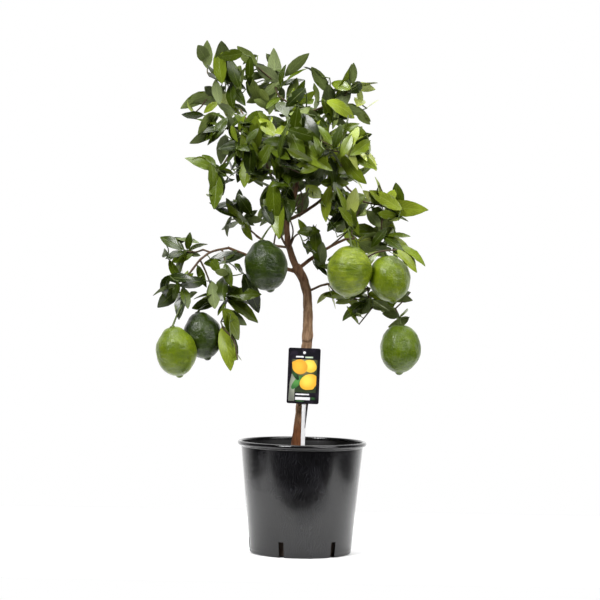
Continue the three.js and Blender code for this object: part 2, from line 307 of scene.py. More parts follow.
def smooth_route(
    points: Sequence[Vector], radii: Sequence[float], step: float
) -> tuple[list[Vector], list[float]]:
    """Runs a smooth line of close points through a few.

    Args:
        points: the points to pass through.
        radii: the radius at each.
        step: about how far apart the new points are.

    Returns:
        The close points, and the radius at each.
    """
    ends = [points[0] * 2 - points[1], *points, points[-1] * 2 - points[-2]]
    route, sizes = [], []
    for index in range(len(points) - 1):
        before, start, finish, after = ends[index : index + 4]
        count = max(1, round((finish - start).length / step))
        for part in range(count):
            t = part / count
            route.append(
                0.5
                * (
                    start * 2
                    + (finish - before) * t
                    + (before * 2 - start * 5 + finish * 4 - after) * t**2
                    + (start * 3 - before - finish * 3 + after) * t**3
                )
            )
            sizes.append(blend(radii[index], radii[index + 1], t))
    return [*route, points[-1].copy()], [*sizes, radii[-1]]


# ---- finishes ------------------------------------------------------------------------------------


class Graph:
    """A small helper for the nodes of one material or node group."""

    mix_share, mix_first, mix_second, mix_result = 0, 6, 7, 2

    def __init__(self, tree: bpy.types.NodeTree) -> None:
        """Keeps the tree that nodes are added to."""
        self.tree = tree

    def node(self, kind: str, **settings: object) -> bpy.types.Node:
        """Adds a node.

        Args:
            kind: the node's type without its ShaderNode prefix, or a full type name.
            settings: its properties; inputs are set by a dict called inputs.

        Returns:
            The new node.
        """
        inputs = settings.pop("inputs", {})
        made = self.tree.nodes.new(kind if kind.startswith("Node") else "ShaderNode" + kind)
        for key, value in settings.items():
            setattr(made, key, value)
        for key, value in inputs.items():
            self.feed(made.inputs[key], value)
        return made

    def feed(self, socket: bpy.types.NodeSocket, value: object) -> None:
        """Links a socket to another, or sets it to a plain value.

        Args:
            socket: the input.
            value: what it takes.
        """
        if isinstance(value, bpy.types.NodeSocket):
            self.tree.links.new(value, socket)
        else:
            socket.default_value = value

    def place(self, kind: str = "Object") -> bpy.types.NodeSocket:
        """Returns where a point lies, in its object, on its own sheet or round the world."""
        return self.node("TexCoord").outputs[kind]

    def maths(self, operation: str, *values: object) -> bpy.types.NodeSocket:
        """Adds a math node.

        Args:
            operation: the math operation.
            values: its inputs.

        Returns:
            Its output.
        """
        made = self.node("Math", operation=operation)
        for socket, value in zip(made.inputs, values):
            self.feed(socket, value)
        return made.outputs[0]

    def times(self, first: object, second: object) -> bpy.types.NodeSocket:
        """Returns the product of two values."""
        return self.maths("MULTIPLY", first, second)

    def plus(self, first: object, second: object) -> bpy.types.NodeSocket:
        """Returns the sum of two values."""
        return self.maths("ADD", first, second)

    def mix(self, share: object, first: object, second: object, how: str = "MIX") -> bpy.types.NodeSocket:
        """Adds a colour mix.

        Args:
            share: how much of the second colour.
            first: the first colour.
            second: the second colour.
            how: the blending.

        Returns:
            Its colour.
        """
        made = self.node("Mix", data_type="RGBA", blend_type=how)
        self.feed(made.inputs[self.mix_share], share)
        for place, colour in ((self.mix_first, first), (self.mix_second, second)):
            self.feed(made.inputs[place], (*colour, 1) if isinstance(colour, tuple) else colour)
        return made.outputs[self.mix_result]

    def ramp(self, value: bpy.types.NodeSocket, low: float, high: float) -> bpy.types.NodeSocket:
        """Spreads the values between two limits smoothly over 0 to 1.

        Args:
            value: the value.
            low: what becomes 0.
            high: what becomes 1.

        Returns:
            The new value.
        """
        made = self.node("MapRange", interpolation_type="SMOOTHSTEP", inputs={"Value": value})
        made.inputs["From Min"].default_value = low
        made.inputs["From Max"].default_value = high
        return made.outputs[0]


def new_group(
    name: str, inputs: dict[str, float], outputs: Sequence[str]
) -> tuple[bpy.types.NodeTree, Graph]:
    """Starts a shader node group.

    Args:
        name: the group's name.
        inputs: its named numbers and what each is by default.
        outputs: its named values.

    Returns:
        The group's tree and a graph to fill it with.
    """
    tree = bpy.data.node_groups.new(name, "ShaderNodeTree")
    for key, value in inputs.items():
        tree.interface.new_socket(key, in_out="INPUT", socket_type="NodeSocketFloat").default_value = value
    for key in outputs:
        tree.interface.new_socket(key, in_out="OUTPUT", socket_type="NodeSocketFloat")
    return tree, Graph(tree)


class Effect(Enum):
    """The surface effects that more than one finish uses."""

    MOTTLE = "mottle"
    STREAKS = "streaks"
    PORES = "pores"
    SCUFFS = "scuffs"

    def tree(self) -> bpy.types.NodeTree:
        """Returns the effect's node group, built the first time that it is asked for."""
        return bpy.data.node_groups.get(self.value) or getattr(Effect, "_" + self.value)(self.value)

    @staticmethod
    def _mottle(name: str) -> bpy.types.NodeTree:
        """Builds soft patches over fine ones.

        Args:
            name: the group's name.

        Returns:
            The group.
        """
        tree, graph = new_group(name, {"Scale": 60.0, "Fine": 0.4}, ["Patches", "Grain"])
        given = graph.node("NodeGroupInput")
        place = graph.place()
        scale = given.outputs["Scale"]
        coarse = graph.node("TexNoise", inputs={"Vector": place, "Scale": scale, "Detail": 2.0})
        fine_scale = graph.times(scale, 9.0)
        fine = graph.node("TexNoise", inputs={"Vector": place, "Scale": fine_scale, "Detail": 3.0})
        part = graph.times(fine.outputs[0], given.outputs["Fine"])
        both = graph.plus(coarse.outputs[0], part)
        put = graph.node("NodeGroupOutput")
        graph.feed(put.inputs["Patches"], graph.ramp(both, low=0.45, high=0.95))
        graph.feed(put.inputs["Grain"], fine.outputs[0])
        return tree

    @staticmethod
    def _streaks(name: str) -> bpy.types.NodeTree:
        """Builds upright streaks and cracks, as on bark.

        Args:
            name: the group's name.

        Returns:
            The group.
        """
        tree, graph = new_group(name, {"Scale": 300.0, "Stretch": 0.22}, ["Streaks", "Cracks"])
        given = graph.node("NodeGroupInput")
        place = graph.place()
        stretch = graph.node("CombineXYZ", inputs={"X": 1.0, "Y": 1.0, "Z": given.outputs["Stretch"]})
        scaled = graph.node("VectorMath", operation="MULTIPLY")
        graph.feed(scaled.inputs[0], place)
        graph.feed(scaled.inputs[1], stretch.outputs[0])
        drawn, scale = scaled.outputs[0], given.outputs["Scale"]
        streak = graph.node(
            "TexNoise",
            inputs={"Vector": drawn, "Scale": scale, "Detail": 5.0, "Distortion": 0.4},
        )
        cells = graph.node(
            "TexVoronoi",
            feature="DISTANCE_TO_EDGE",
            inputs={"Vector": drawn, "Scale": graph.times(scale, 1.3)},
        )
        put = graph.node("NodeGroupOutput")
        graph.feed(put.inputs["Streaks"], graph.ramp(streak.outputs[0], low=0.3, high=0.7))
        graph.feed(put.inputs["Cracks"], graph.ramp(cells.outputs["Distance"], low=0.0, high=0.12))
        return tree

    @staticmethod
    def _pores(name: str) -> bpy.types.NodeTree:
        """Builds small round dimples.

        Args:
            name: the group's name.

        Returns:
            The group.
        """
        tree, graph = new_group(name, {"Scale": 700.0}, ["Height", "Dots"])
        given = graph.node("NodeGroupInput")
        place = graph.place()
        cells = graph.node("TexVoronoi", inputs={"Vector": place, "Scale": given.outputs["Scale"]})
        put = graph.node("NodeGroupOutput")
        graph.feed(put.inputs["Height"], graph.ramp(cells.outputs["Distance"], low=0.05, high=0.5))
        graph.feed(put.inputs["Dots"], graph.ramp(cells.outputs["Distance"], low=0.25, high=0.1))
        return tree

    @staticmethod
    def _scuffs(name: str) -> bpy.types.NodeTree:
        """Builds rubbed patches, fine scratches and dust.

        Args:
            name: the group's name.

        Returns:
            The group.
        """
        tree, graph = new_group(name, {"Scale": 14.0}, ["Rubbed", "Scratches", "Dust"])
        given = graph.node("NodeGroupInput")
        place = graph.place()
        rubbed = graph.node(
            "TexNoise",
            inputs={"Vector": place, "Scale": given.outputs["Scale"], "Detail": 4.0, "Distortion": 1.6},
        )
        scratch_scale = graph.times(given.outputs["Scale"], 6.0)
        scratches = graph.node(
            "TexWave",
            inputs={
                "Vector": place,
                "Scale": scratch_scale,
                "Distortion": 30.0,
                "Detail": 3.0,
                "Detail Scale": 0.5,
            },
        )
        dust_scale = graph.times(given.outputs["Scale"], 60.0)
        dust = graph.node("TexNoise", inputs={"Vector": place, "Scale": dust_scale, "Detail": 2.0})
        put = graph.node("NodeGroupOutput")
        graph.feed(put.inputs["Rubbed"], graph.ramp(rubbed.outputs[0], low=0.42, high=0.68))
        graph.feed(put.inputs["Scratches"], graph.ramp(scratches.outputs[0], low=0.9, high=1.0))
        graph.feed(put.inputs["Dust"], graph.ramp(dust.outputs[0], low=0.62, high=0.72))
        return tree


class Paint:
    """A material being made, with its Principled shader and a graph round it."""

    def __init__(self, name: str) -> None:
        """Starts a material.

        Args:
            name: its name.
        """
        self.material = bpy.data.materials.new(name)
        self.material.use_nodes = True
        self.graph = Graph(self.material.node_tree)
        self.shader = self.material.node_tree.nodes["Principled BSDF"]

    def set(self, **values: object) -> None:
        """Sets or links the shader's sockets.

        Args:
            values: what each socket takes, named with _ for a space.
        """
        for key, value in values.items():
            socket = self.shader.inputs[key.replace("_", " ")]
            plain = isinstance(value, tuple) and len(value) == 3 and len(socket.default_value) == 4
            self.graph.feed(socket, (*value, 1) if plain else value)

    def effect(self, effect: Effect, **values: float) -> dict[str, bpy.types.NodeSocket]:
        """Places an effect in the material.

        Args:
            effect: which effect.
            values: its own values.

        Returns:
            Its outputs by name.
        """
        made = self.graph.node("Group", node_tree=effect.tree())
        for key, value in values.items():
            made.inputs[key].default_value = value
        return {socket.name: socket for socket in made.outputs}

    def bump(self, height: bpy.types.NodeSocket, strength: float, distance: float) -> None:
        """Lets a height turn the surface's normal."""
        made = self.graph.node("Bump", inputs={"Height": height, "Strength": strength, "Distance": distance})
        self.graph.feed(self.shader.inputs["Normal"], made.outputs[0])


@dataclass(frozen=True)
class LeafSideFinish:
    """One side of a leaf, or its midrib."""

    name: str
    colour: Colour
    shade: Colour
    roughness: float
    coat: float
    veins: float
    vein_count: float = 52.0
    vein_slant: float = 34.0
    vein_show: float = 0.45
    gloss: float = 0.24
    coat_roughness: float = 0.14

    def material(self) -> bpy.types.Material:
        """Makes the side's material, with soft mottling and faint side veins.

        Returns:
            The material.
        """
        paint = Paint(self.name)
        graph = paint.graph
        mottle = paint.effect(Effect.MOTTLE, Scale=55.0, Fine=0.35)
        place = graph.place("UV")
        split = graph.node("SeparateXYZ", inputs={"Vector": place})
        middle = graph.maths("ABSOLUTE", graph.maths("SUBTRACT", split.outputs[0], 0.5))
        along = graph.times(split.outputs[1], self.vein_count)
        slant = graph.maths("SUBTRACT", along, graph.times(middle, self.vein_slant))
        side_vein = graph.ramp(graph.maths("SINE", slant), low=0.82, high=1.0)
        vein = graph.maths("MAXIMUM", side_vein, graph.ramp(middle, low=0.035, high=0.018))
        plain_base = graph.mix(mottle["Patches"], self.shade, self.colour)
        base = graph.mix(graph.times(vein, self.vein_show * self.veins), plain_base, self.colour, "SCREEN")
        paint.set(Base_Color=base, Specular_IOR_Level=self.gloss)
        paint.set(Coat_Weight=self.coat, Coat_Roughness=self.coat_roughness)
        paint.set(Roughness=graph.plus(graph.times(mottle["Grain"], 0.16), self.roughness - 0.08))
        grain = graph.times(mottle["Grain"], 0.25)
        height = graph.plus(graph.times(vein, -self.veins), grain)
        paint.bump(height, 0.35, 0.25 * MM)
        return paint.material


@dataclass(frozen=True)
class BarkFinish:
    """Thin bark with upright streaks and fine cracks."""

    name: str
    light: Colour
    dark: Colour
    foot: Colour
    # upper: painted shade, multiplied in towards the fork where the crown shades the trunk
    upper: Colour = (1.0, 1.0, 1.0)
    scar: float = 0.0
    scale: float = 300.0
    relief: float = 0.5 * MM
    foot_ends: tuple[float, float] = (0.24, 0.195)
    upper_starts: tuple[float, float] = (0.395, 0.455)
    scar_width: tuple[float, float] = (0.0032, 0.0008)
    scar_wander: float = 0.006

    def material(self) -> bpy.types.Material:
        """Makes the bark's material, redder near the ground, and darker and greyer towards the fork as
        painted shade under the crown.

        Returns:
            The material.
        """
        paint = Paint(self.name)
        graph = paint.graph
        streaks = paint.effect(Effect.STREAKS, Scale=self.scale)
        mottle = paint.effect(Effect.MOTTLE, Scale=45.0)
        wood = graph.mix(streaks["Streaks"], self.dark, self.light)
        patched = graph.mix(graph.times(mottle["Patches"], 0.45), wood, self.light, "SCREEN")
        height = graph.node("SeparateXYZ", inputs={"Vector": graph.place()}).outputs[2]
        low = graph.ramp(height, *self.foot_ends)
        footed = graph.mix(low, graph.mix(0.35, wood, patched), self.foot, "MULTIPLY")
        # Painted shade: darker and greyer towards the fork, under the crown
        crown_shaded = graph.mix(graph.ramp(height, *self.upper_starts), footed, self.upper, "MULTIPLY")
        # A dark line at the graft: partly the graft scar, partly painted shade in its notch
        wander = graph.plus(height, graph.times(mottle["Patches"], self.scar_wander))
        off = graph.maths("ABSOLUTE", graph.maths("SUBTRACT", wander, self.scar))
        graft_scar_and_shade = graph.times(graph.ramp(off, *self.scar_width), 0.6)
        colour = graph.mix(graft_scar_and_shade, crown_shaded, self.dark, "MULTIPLY")
        paint.set(Base_Color=colour, Roughness=0.82, Specular_IOR_Level=0.3)
        paint.bump(graph.times(streaks["Streaks"], streaks["Cracks"]), 0.55, self.relief)
        return paint.material


@dataclass(frozen=True)
class PeelFinish:
    """The dimpled skin of a fruit."""

    name: str
    colour: Colour
    shade: Colour
    folds: float = 1.0
    gloss: float = 0.36
    nipple_end: tuple[float, float] = (0.86, 0.93)
    stalk_end: tuple[float, float] = (0.14, 0.05)

    def material(self) -> bpy.types.Material:
        """Makes the skin's material, glossy between its pores.

        Returns:
            The material.
        """
        paint = Paint(self.name)
        graph = paint.graph
        pores = paint.effect(Effect.PORES, Scale=520.0)
        mottle = paint.effect(Effect.MOTTLE, Scale=38.0, Fine=0.3)
        folds = paint.effect(Effect.STREAKS, Scale=75.0, Stretch=2.6)
        share = graph.plus(graph.times(mottle["Patches"], 0.65), graph.times(folds["Streaks"], 0.35))
        base = graph.mix(share, self.shade, self.colour)
        dotted = graph.mix(graph.times(pores["Dots"], 0.3), base, self.shade, "MULTIPLY")
        # Darker towards both ends: at the nipple partly its own dried colour and partly painted shade in the
        # groove round it, and darker towards the stalk end
        down = graph.node("SeparateXYZ", inputs={"Vector": graph.place("UV")}).outputs[1]
        ends = graph.plus(graph.ramp(down, *self.nipple_end), graph.ramp(down, *self.stalk_end))
        colour = graph.mix(graph.times(ends, 0.7), dotted, self.shade)
        rough = graph.plus(graph.times(mottle["Grain"], 0.2), 0.24)
        paint.set(Base_Color=colour, Roughness=rough, Specular_IOR_Level=self.gloss)
        creases = graph.times(folds["Streaks"], self.folds)
        waves = graph.plus(graph.times(mottle["Patches"], 2.4), creases)
        paint.bump(graph.plus(pores["Height"], waves), 0.62, 0.45 * MM)
        return paint.material


@dataclass(frozen=True)
class PlasticFinish:
    """Moulded plastic, rubbed and scratched by handling."""

    name: str
    colour: Colour
    rubbed: Colour
    roughness: float
    scale: float = 14.0
    gloss: float = 0.5
    dust: Colour = (0.3, 0.28, 0.25)
    scratch: Colour = (0.2, 0.2, 0.21)

    def material(self) -> bpy.types.Material:
        """Makes the plastic's material.

        Returns:
            The material.
        """
        paint = Paint(self.name)
        graph = paint.graph
        scuffs = paint.effect(Effect.SCUFFS, Scale=self.scale)
        worn = graph.mix(graph.times(scuffs["Rubbed"], 0.8), self.colour, self.rubbed)
        dusty = graph.mix(graph.times(scuffs["Dust"], 0.05), worn, self.dust)
        lines = graph.mix(graph.times(scuffs["Scratches"], 0.06), dusty, self.scratch)
        rough = graph.plus(graph.times(scuffs["Rubbed"], 0.1), self.roughness)
        paint.set(Base_Color=lines, Roughness=rough, Specular_IOR_Level=self.gloss)
        paint.bump(graph.plus(scuffs["Scratches"], scuffs["Dust"]), 0.12, 0.2 * MM)
        return paint.material


@dataclass(frozen=True)
class CompostFinish:
    """Fibrous potting compost."""

    name: str
    dark: Colour
    light: Colour

    def material(self) -> bpy.types.Material:
        """Makes the compost's material.

        Returns:
            The material.
        """
        paint = Paint(self.name)
        mottle = paint.effect(Effect.MOTTLE, Scale=150.0, Fine=0.8)
        paint.set(Base_Color=paint.graph.mix(mottle["Patches"], self.dark, self.light), Roughness=0.95)
        paint.bump(mottle["Grain"], 0.8, 1.2 * MM)
        return paint.material


@dataclass(frozen=True)
class PrintFinish:
    """Ink on the picture label, shaded towards one edge of each printed shape."""

    name: str
    colour: Colour
    shade: Colour
    centre: tuple[float, float] = (0.4, 0.62)

    def material(self) -> bpy.types.Material:
        """Makes the ink's material.

        Returns:
            The material.
        """
        paint = Paint(self.name)
        graph = paint.graph
        place = graph.place("UV")
        gap = graph.node("VectorMath", operation="DISTANCE")
        graph.feed(gap.inputs[0], place)
        gap.inputs[1].default_value = (*self.centre, 0)
        mottle = paint.effect(Effect.MOTTLE, Scale=400.0, Fine=0.3)
        faded = graph.ramp(gap.outputs["Value"], low=0.1, high=0.62)
        share = graph.plus(faded, graph.times(mottle["Grain"], 0.12))
        paint.set(Base_Color=graph.mix(share, self.colour, self.shade), Roughness=0.34, Coat_Weight=0.3)
        return paint.material


# ---- the finishes of this object -----------------------------------------------------------------


class Ripeness(Enum):
    """How green a fruit still is."""

    DARK = PeelFinish("peel_dark", (0.034, 0.058, 0.001), (0.006, 0.015, 0.0005), 1.5)
    GREEN = PeelFinish("peel_green", (0.105, 0.155, 0.002), (0.046, 0.08, 0.001))
    MID = PeelFinish("peel_mid", (0.165, 0.22, 0.004), (0.07, 0.11, 0.002))
    BRIGHT = PeelFinish("peel_bright", (0.25, 0.31, 0.014), (0.07, 0.112, 0.003), 2.6)


UNDER_GREY: Colour = (0.19, 0.23, 0.09)
RIB_GREEN: Colour = (0.2, 0.25, 0.05)
LEAF_SHADE = 0.72


class LeafTone(Enum):
    """The greens of the leaves, from the oldest and darkest to the youngest and lightest; they are also
    dealt out as painted light and shade.
    """

    OLD = (0.014, 0.024, 0.001)
    DEEP = (0.034, 0.054, 0.002)
    FULL = (0.072, 0.106, 0.005)
    FRESH = (0.135, 0.185, 0.011)
    YOUNG = (0.22, 0.28, 0.022)
    PALE = (0.34, 0.39, 0.08)

    def sides(self) -> list[LeafSideFinish]:
        """Lists the finishes of a leaf of this tone.

        Returns:
            The upper side, the midrib and the under side.
        """
        tone, name = self.value, "leaf_" + self.name.lower()
        under = tuple(blend(part, level, 0.5) for part, level in zip(tone, UNDER_GREY))
        rib = tuple(blend(part, level, 0.45) for part, level in zip(tone, RIB_GREEN))
        shade, under_shade = (tuple(part * LEAF_SHADE for part in colour) for colour in (tone, under))
        return [
            LeafSideFinish(name + "_upper", tone, shade, roughness=0.25, coat=0.06, veins=0.8),
            LeafSideFinish(name + "_rib", rib, tone, roughness=0.5, coat=0.1, veins=0.0),
            LeafSideFinish(name + "_under", under, under_shade, roughness=0.55, coat=0.0, veins=1.0),
        ]


PLAIN: Colour = (1.0, 1.0, 1.0)
TRUNK_BARK = BarkFinish(
    "bark_trunk",
    light=(0.3, 0.185, 0.105),
    dark=(0.13, 0.07, 0.035),
    foot=(0.5, 0.28, 0.15),
    # painted shade under the crown, towards the fork
    upper=(0.5, 0.42, 0.38),
    scar=0.348,
)
STEM_BARK = BarkFinish(
    "bark_stem", (0.115, 0.07, 0.04), (0.05, 0.028, 0.016), PLAIN, scale=420.0, relief=0.3 * MM
)
TWIG_BARK = BarkFinish(
    "bark_twig", (0.085, 0.06, 0.03), (0.04, 0.026, 0.016), PLAIN, scale=500.0, relief=0.2 * MM
)
GREEN_STEM = LeafSideFinish("stem_green", (0.1, 0.13, 0.03), (0.06, 0.085, 0.02), 0.5, coat=0.1, veins=0.0)
POT_PLASTIC = PlasticFinish("plastic_pot", (0.002, 0.002, 0.0024), (0.005, 0.005, 0.0065), 0.13)
POT_INSIDE = PlasticFinish(
    "plastic_pot_inside", (0.002, 0.002, 0.0022), (0.005, 0.0045, 0.004), 0.5, gloss=0.2
)
CARD = PlasticFinish("card_black", (0.007, 0.006, 0.009), (0.02, 0.014, 0.026), 0.3, scale=60.0, gloss=0.3)
STAKE = PlasticFinish("plastic_white", (0.78, 0.78, 0.79), (0.7, 0.7, 0.72), 0.35, scale=60.0)
# Its own dark colour, darkened further as painted shade so that the compost seen through the drainage slots
# stays dark
COMPOST = CompostFinish("compost_dark", (0.004, 0.0025, 0.0015), (0.03, 0.017, 0.009))
CHIPS = CompostFinish("compost_chips", (0.05, 0.03, 0.016), (0.11, 0.065, 0.035))


class Ink(Enum):
    """The inks of the picture label."""

    GROUND = PrintFinish("ink_ground", (0.30, 0.26, 0.12), (0.03, 0.045, 0.02), (0.5, 0.9))
    MIST = PrintFinish("ink_mist", (0.36, 0.38, 0.3), (0.16, 0.17, 0.14), (0.5, 0.6))
    LEMON_BACK = PrintFinish("ink_lemon_back", (0.93, 0.74, 0.12), (0.8, 0.52, 0.05), (0.45, 0.6))
    LEMON_LEFT = PrintFinish("ink_lemon_left", (0.9, 0.5, 0.05), (0.75, 0.36, 0.04), (0.4, 0.55))
    LEMON_FRONT = PrintFinish("ink_lemon_front", (0.95, 0.72, 0.1), (0.85, 0.44, 0.04), (0.42, 0.6))
    LEAF = PrintFinish("ink_leaf", (0.1, 0.3, 0.07), (0.04, 0.14, 0.04))
    LEAF_DARK = PrintFinish("ink_leaf_dark", (0.03, 0.09, 0.03), (0.012, 0.03, 0.012))
    PALE_GREEN = PrintFinish("ink_pale_green", (0.55, 0.68, 0.5), (0.5, 0.6, 0.45))
    WHITE = PrintFinish("ink_white", (0.86, 0.86, 0.86), (0.78, 0.78, 0.8))

    def slot(self) -> int:
        """Returns its place among the label's materials, after the card's."""
        return 1 + list(Ink).index(self)


# ---- wood ----------------------------------------------------------------------------------------


@dataclass
class Limb:
    """A limb's centre line and radii, read off its solid."""

    name: str
    route: list[Vector]
    radii: list[float]
    cut_gap: ClassVar[float] = 12 * MM
    least_cuts: ClassVar[int] = 3
    most_cuts: ClassVar[int] = 24
    fullness: ClassVar[float] = 1.04
    clear_taper: ClassVar[float] = 0.05

    @classmethod
    def traced(cls, name: str, mesh: bpy.types.Mesh) -> "Limb":
        """Reads a limb off its solid by cutting it across at even steps.

        Args:
            name: the limb's node.
            mesh: the node's mesh.

        Returns:
            The limb, running away from its thicker end.
        """
        corners = [vertex.co.copy() for vertex in mesh.vertices]
        middle = sum(corners, Vector()) / len(corners)
        first = max(corners, key=lambda corner: (corner - middle).length)
        last = max(corners, key=lambda corner: (corner - first).length)
        axis = (last - first).normalized()
        length = (last - first).length
        cuts = max(cls.least_cuts, min(cls.most_cuts, round(length / cls.cut_gap)))
        route, radii = [], []
        for cut in range(cuts):
            level = length * (cut + 0.5) / cuts
            hits = []
            for edge in mesh.edges:
                one, two = (corners[index] for index in edge.vertices)
                low, high = (one - first).dot(axis) - level, (two - first).dot(axis) - level
                if (low < 0) != (high < 0):
                    hits.append(one.lerp(two, low / (low - high)))
            centre = sum(hits, Vector()) / len(hits)
            route.append(centre)
            radii.append(cls.fullness * sum((hit - centre).length for hit in hits) / len(hits))
        route = [route[0] * 1.5 - route[1] * 0.5, *route, route[-1] * 1.5 - route[-2] * 0.5]
        radii = [radii[0], *radii, radii[-1]]
        away = math.hypot(*route[-1].xy) - math.hypot(*route[0].xy)
        thinner = (radii[0] - radii[-1]) / radii[0]
        backwards = thinner < -cls.clear_taper or (thinner < cls.clear_taper and away < 0)
        return cls(name, route[::-1] if backwards else route, radii[::-1] if backwards else radii)

    def points(self, step: float = 4 * MM) -> tuple[list[Vector], list[float]]:
        """Returns close points along the limb and the radius at each."""
        return smooth_route(self.route, self.radii, step)

    def join(self, others: Sequence["Limb"], reach: float = 16 * MM) -> None:
        """Runs the limb's foot back to the middle of the limb that bears it.

        Args:
            others: the other limbs.
            reach: how near that limb has to be.
        """
        foot = self.route[0]
        near = min(
            (point for other in others for point in other.points()[0]),
            key=lambda point: (point - foot).length,
        )
        if MM < (near - foot).length < reach:
            self.route.insert(0, near.copy())
            self.radii.insert(0, self.radii[0] * 1.25)


@dataclass
class Places:
    """The points on the wood that twigs, leaves and fruit can grow from."""

    points: np.ndarray = field(default_factory=lambda: np.zeros((0, 3)))

    def add(self, points: Sequence[Vector]) -> None:
        """Adds points."""
        self.points = np.vstack([self.points, np.array([tuple(point) for point in points])])

    def nearest(self, point: Vector, hub: Vector | None = None, pull: float = 0.0) -> Vector:
        """Finds the point that is nearest to another, and to a hub as well if it pulls.

        Args:
            point: the other point.
            hub: the hub.
            pull: how much the distance to the hub counts.

        Returns:
            The nearest point.
        """
        gaps = np.linalg.norm(self.points - np.array(point), axis=1)
        if hub is not None:
            gaps = gaps + pull * np.linalg.norm(self.points - np.array(hub), axis=1)
        return Vector(self.points[int(gaps.argmin())])


@dataclass
class Wood:
    """All the limbs, dressed in bark, and the places that shoots can grow from."""

    trunk_sides: int = 40
    limb_sides: int = 14
    trunk_step: float = 1.6 * MM
    limb_step: float = 2.4 * MM
    place_gap: float = 6 * MM
    lowest_shoot: float = 0.42
    stem_radius: float = 3.6 * MM
    flare: float = 1.06
    limbs: list[Limb] = field(default_factory=list)
    places: Places = field(default_factory=Places)

    def trace(self, nodes: dict[str, bpy.types.Object]) -> None:
        """Reads every limb off its node.

        Args:
            nodes: the part's nodes by name.
        """
        for name, node in sorted(nodes.items()):
            if bark_node(name):
                self.limbs.append(Limb.traced(name, node.data))
        for limb in self.limbs:
            if limb.name != "trunk":
                limb.join([other for other in self.limbs if other is not limb])
        for limb in self.limbs:
            if limb.name != "trunk":
                self.places.add(limb.points(self.place_gap)[0])
        upper = self.limb("trunk").points(self.place_gap)[0]
        self.places.add([point for point in upper if point.z > self.lowest_shoot])

    def limb(self, name: str) -> Limb:
        """Returns the limb of that name."""
        return next(limb for limb in self.limbs if limb.name == name)

    def build(self) -> None:
        """Builds the bark of the trunk and of the limbs."""
        shape = Shape()
        for limb in self.limbs:
            trunk = limb.name == "trunk"
            route, radii = limb.points(self.trunk_step if trunk else self.limb_step)
            if trunk:
                route, radii = self._grounded(route, radii)
            relief = self._trunk_relief if trunk else self._limb_relief
            slot = 0 if trunk or radii[0] > self.stem_radius else 1
            shape.tube(route, radii, self.trunk_sides if trunk else self.limb_sides, slot, relief)
        materials = [finish.material() for finish in (TRUNK_BARK, STEM_BARK)]
        shape.piece("bark", materials, [limb.name for limb in self.limbs], "bark")

    def _grounded(self, route: list[Vector], radii: list[float]) -> tuple[list[Vector], list[float]]:
        """Ends the trunk at the ground with a flare.

        Args:
            route: the trunk's points.
            radii: the radius at each.

        Returns:
            The new points and radii.
        """
        low = box("trunk")[0].z
        kept = [(point, radius) for point, radius in zip(route, radii) if point.z > low + MM]
        foot = kept[0][0].copy()
        foot.z = low
        points = [foot, *(point for point, _ in kept)]
        return points, [kept[0][1] * self.flare, *(radius for _, radius in kept)]

    @staticmethod
    def _trunk_relief(corner: Vector) -> float:
        """Shapes the trunk's bark, with ridges, knots and rings.

        Args:
            corner: a corner of the trunk.

        Returns:
            How proud the bark stands there.
        """
        long = Vector((corner.x, corner.y, corner.z * 0.25))
        coarse = noise.noise(long * 160) * 0.7
        fine = noise.noise(long * 620) * 0.28
        knots = max(0.0, noise.noise(corner * 70 + Vector((3, 1, 4))) - 0.32) * 2.6
        rings = noise.noise(Vector((corner.x * 12, corner.y * 12, corner.z * 95))) * 0.75
        return (coarse + fine + knots + rings) * MM

    @staticmethod
    def _limb_relief(corner: Vector) -> float:
        """Returns how proud a limb's bark stands at a corner."""
        knuckle = max(0.0, noise.noise(corner * 110) - 0.25) * 1.1
        return (noise.noise(corner * 330) * 0.16 + knuckle) * MM


def bark_node(name: str) -> bool:
    """Returns whether a node is the trunk or a limb."""
    return name.startswith(("trunk", "leader", "stem", "bough", "twig", "shoot"))


# ---- foliage -------------------------------------------------------------------------------------


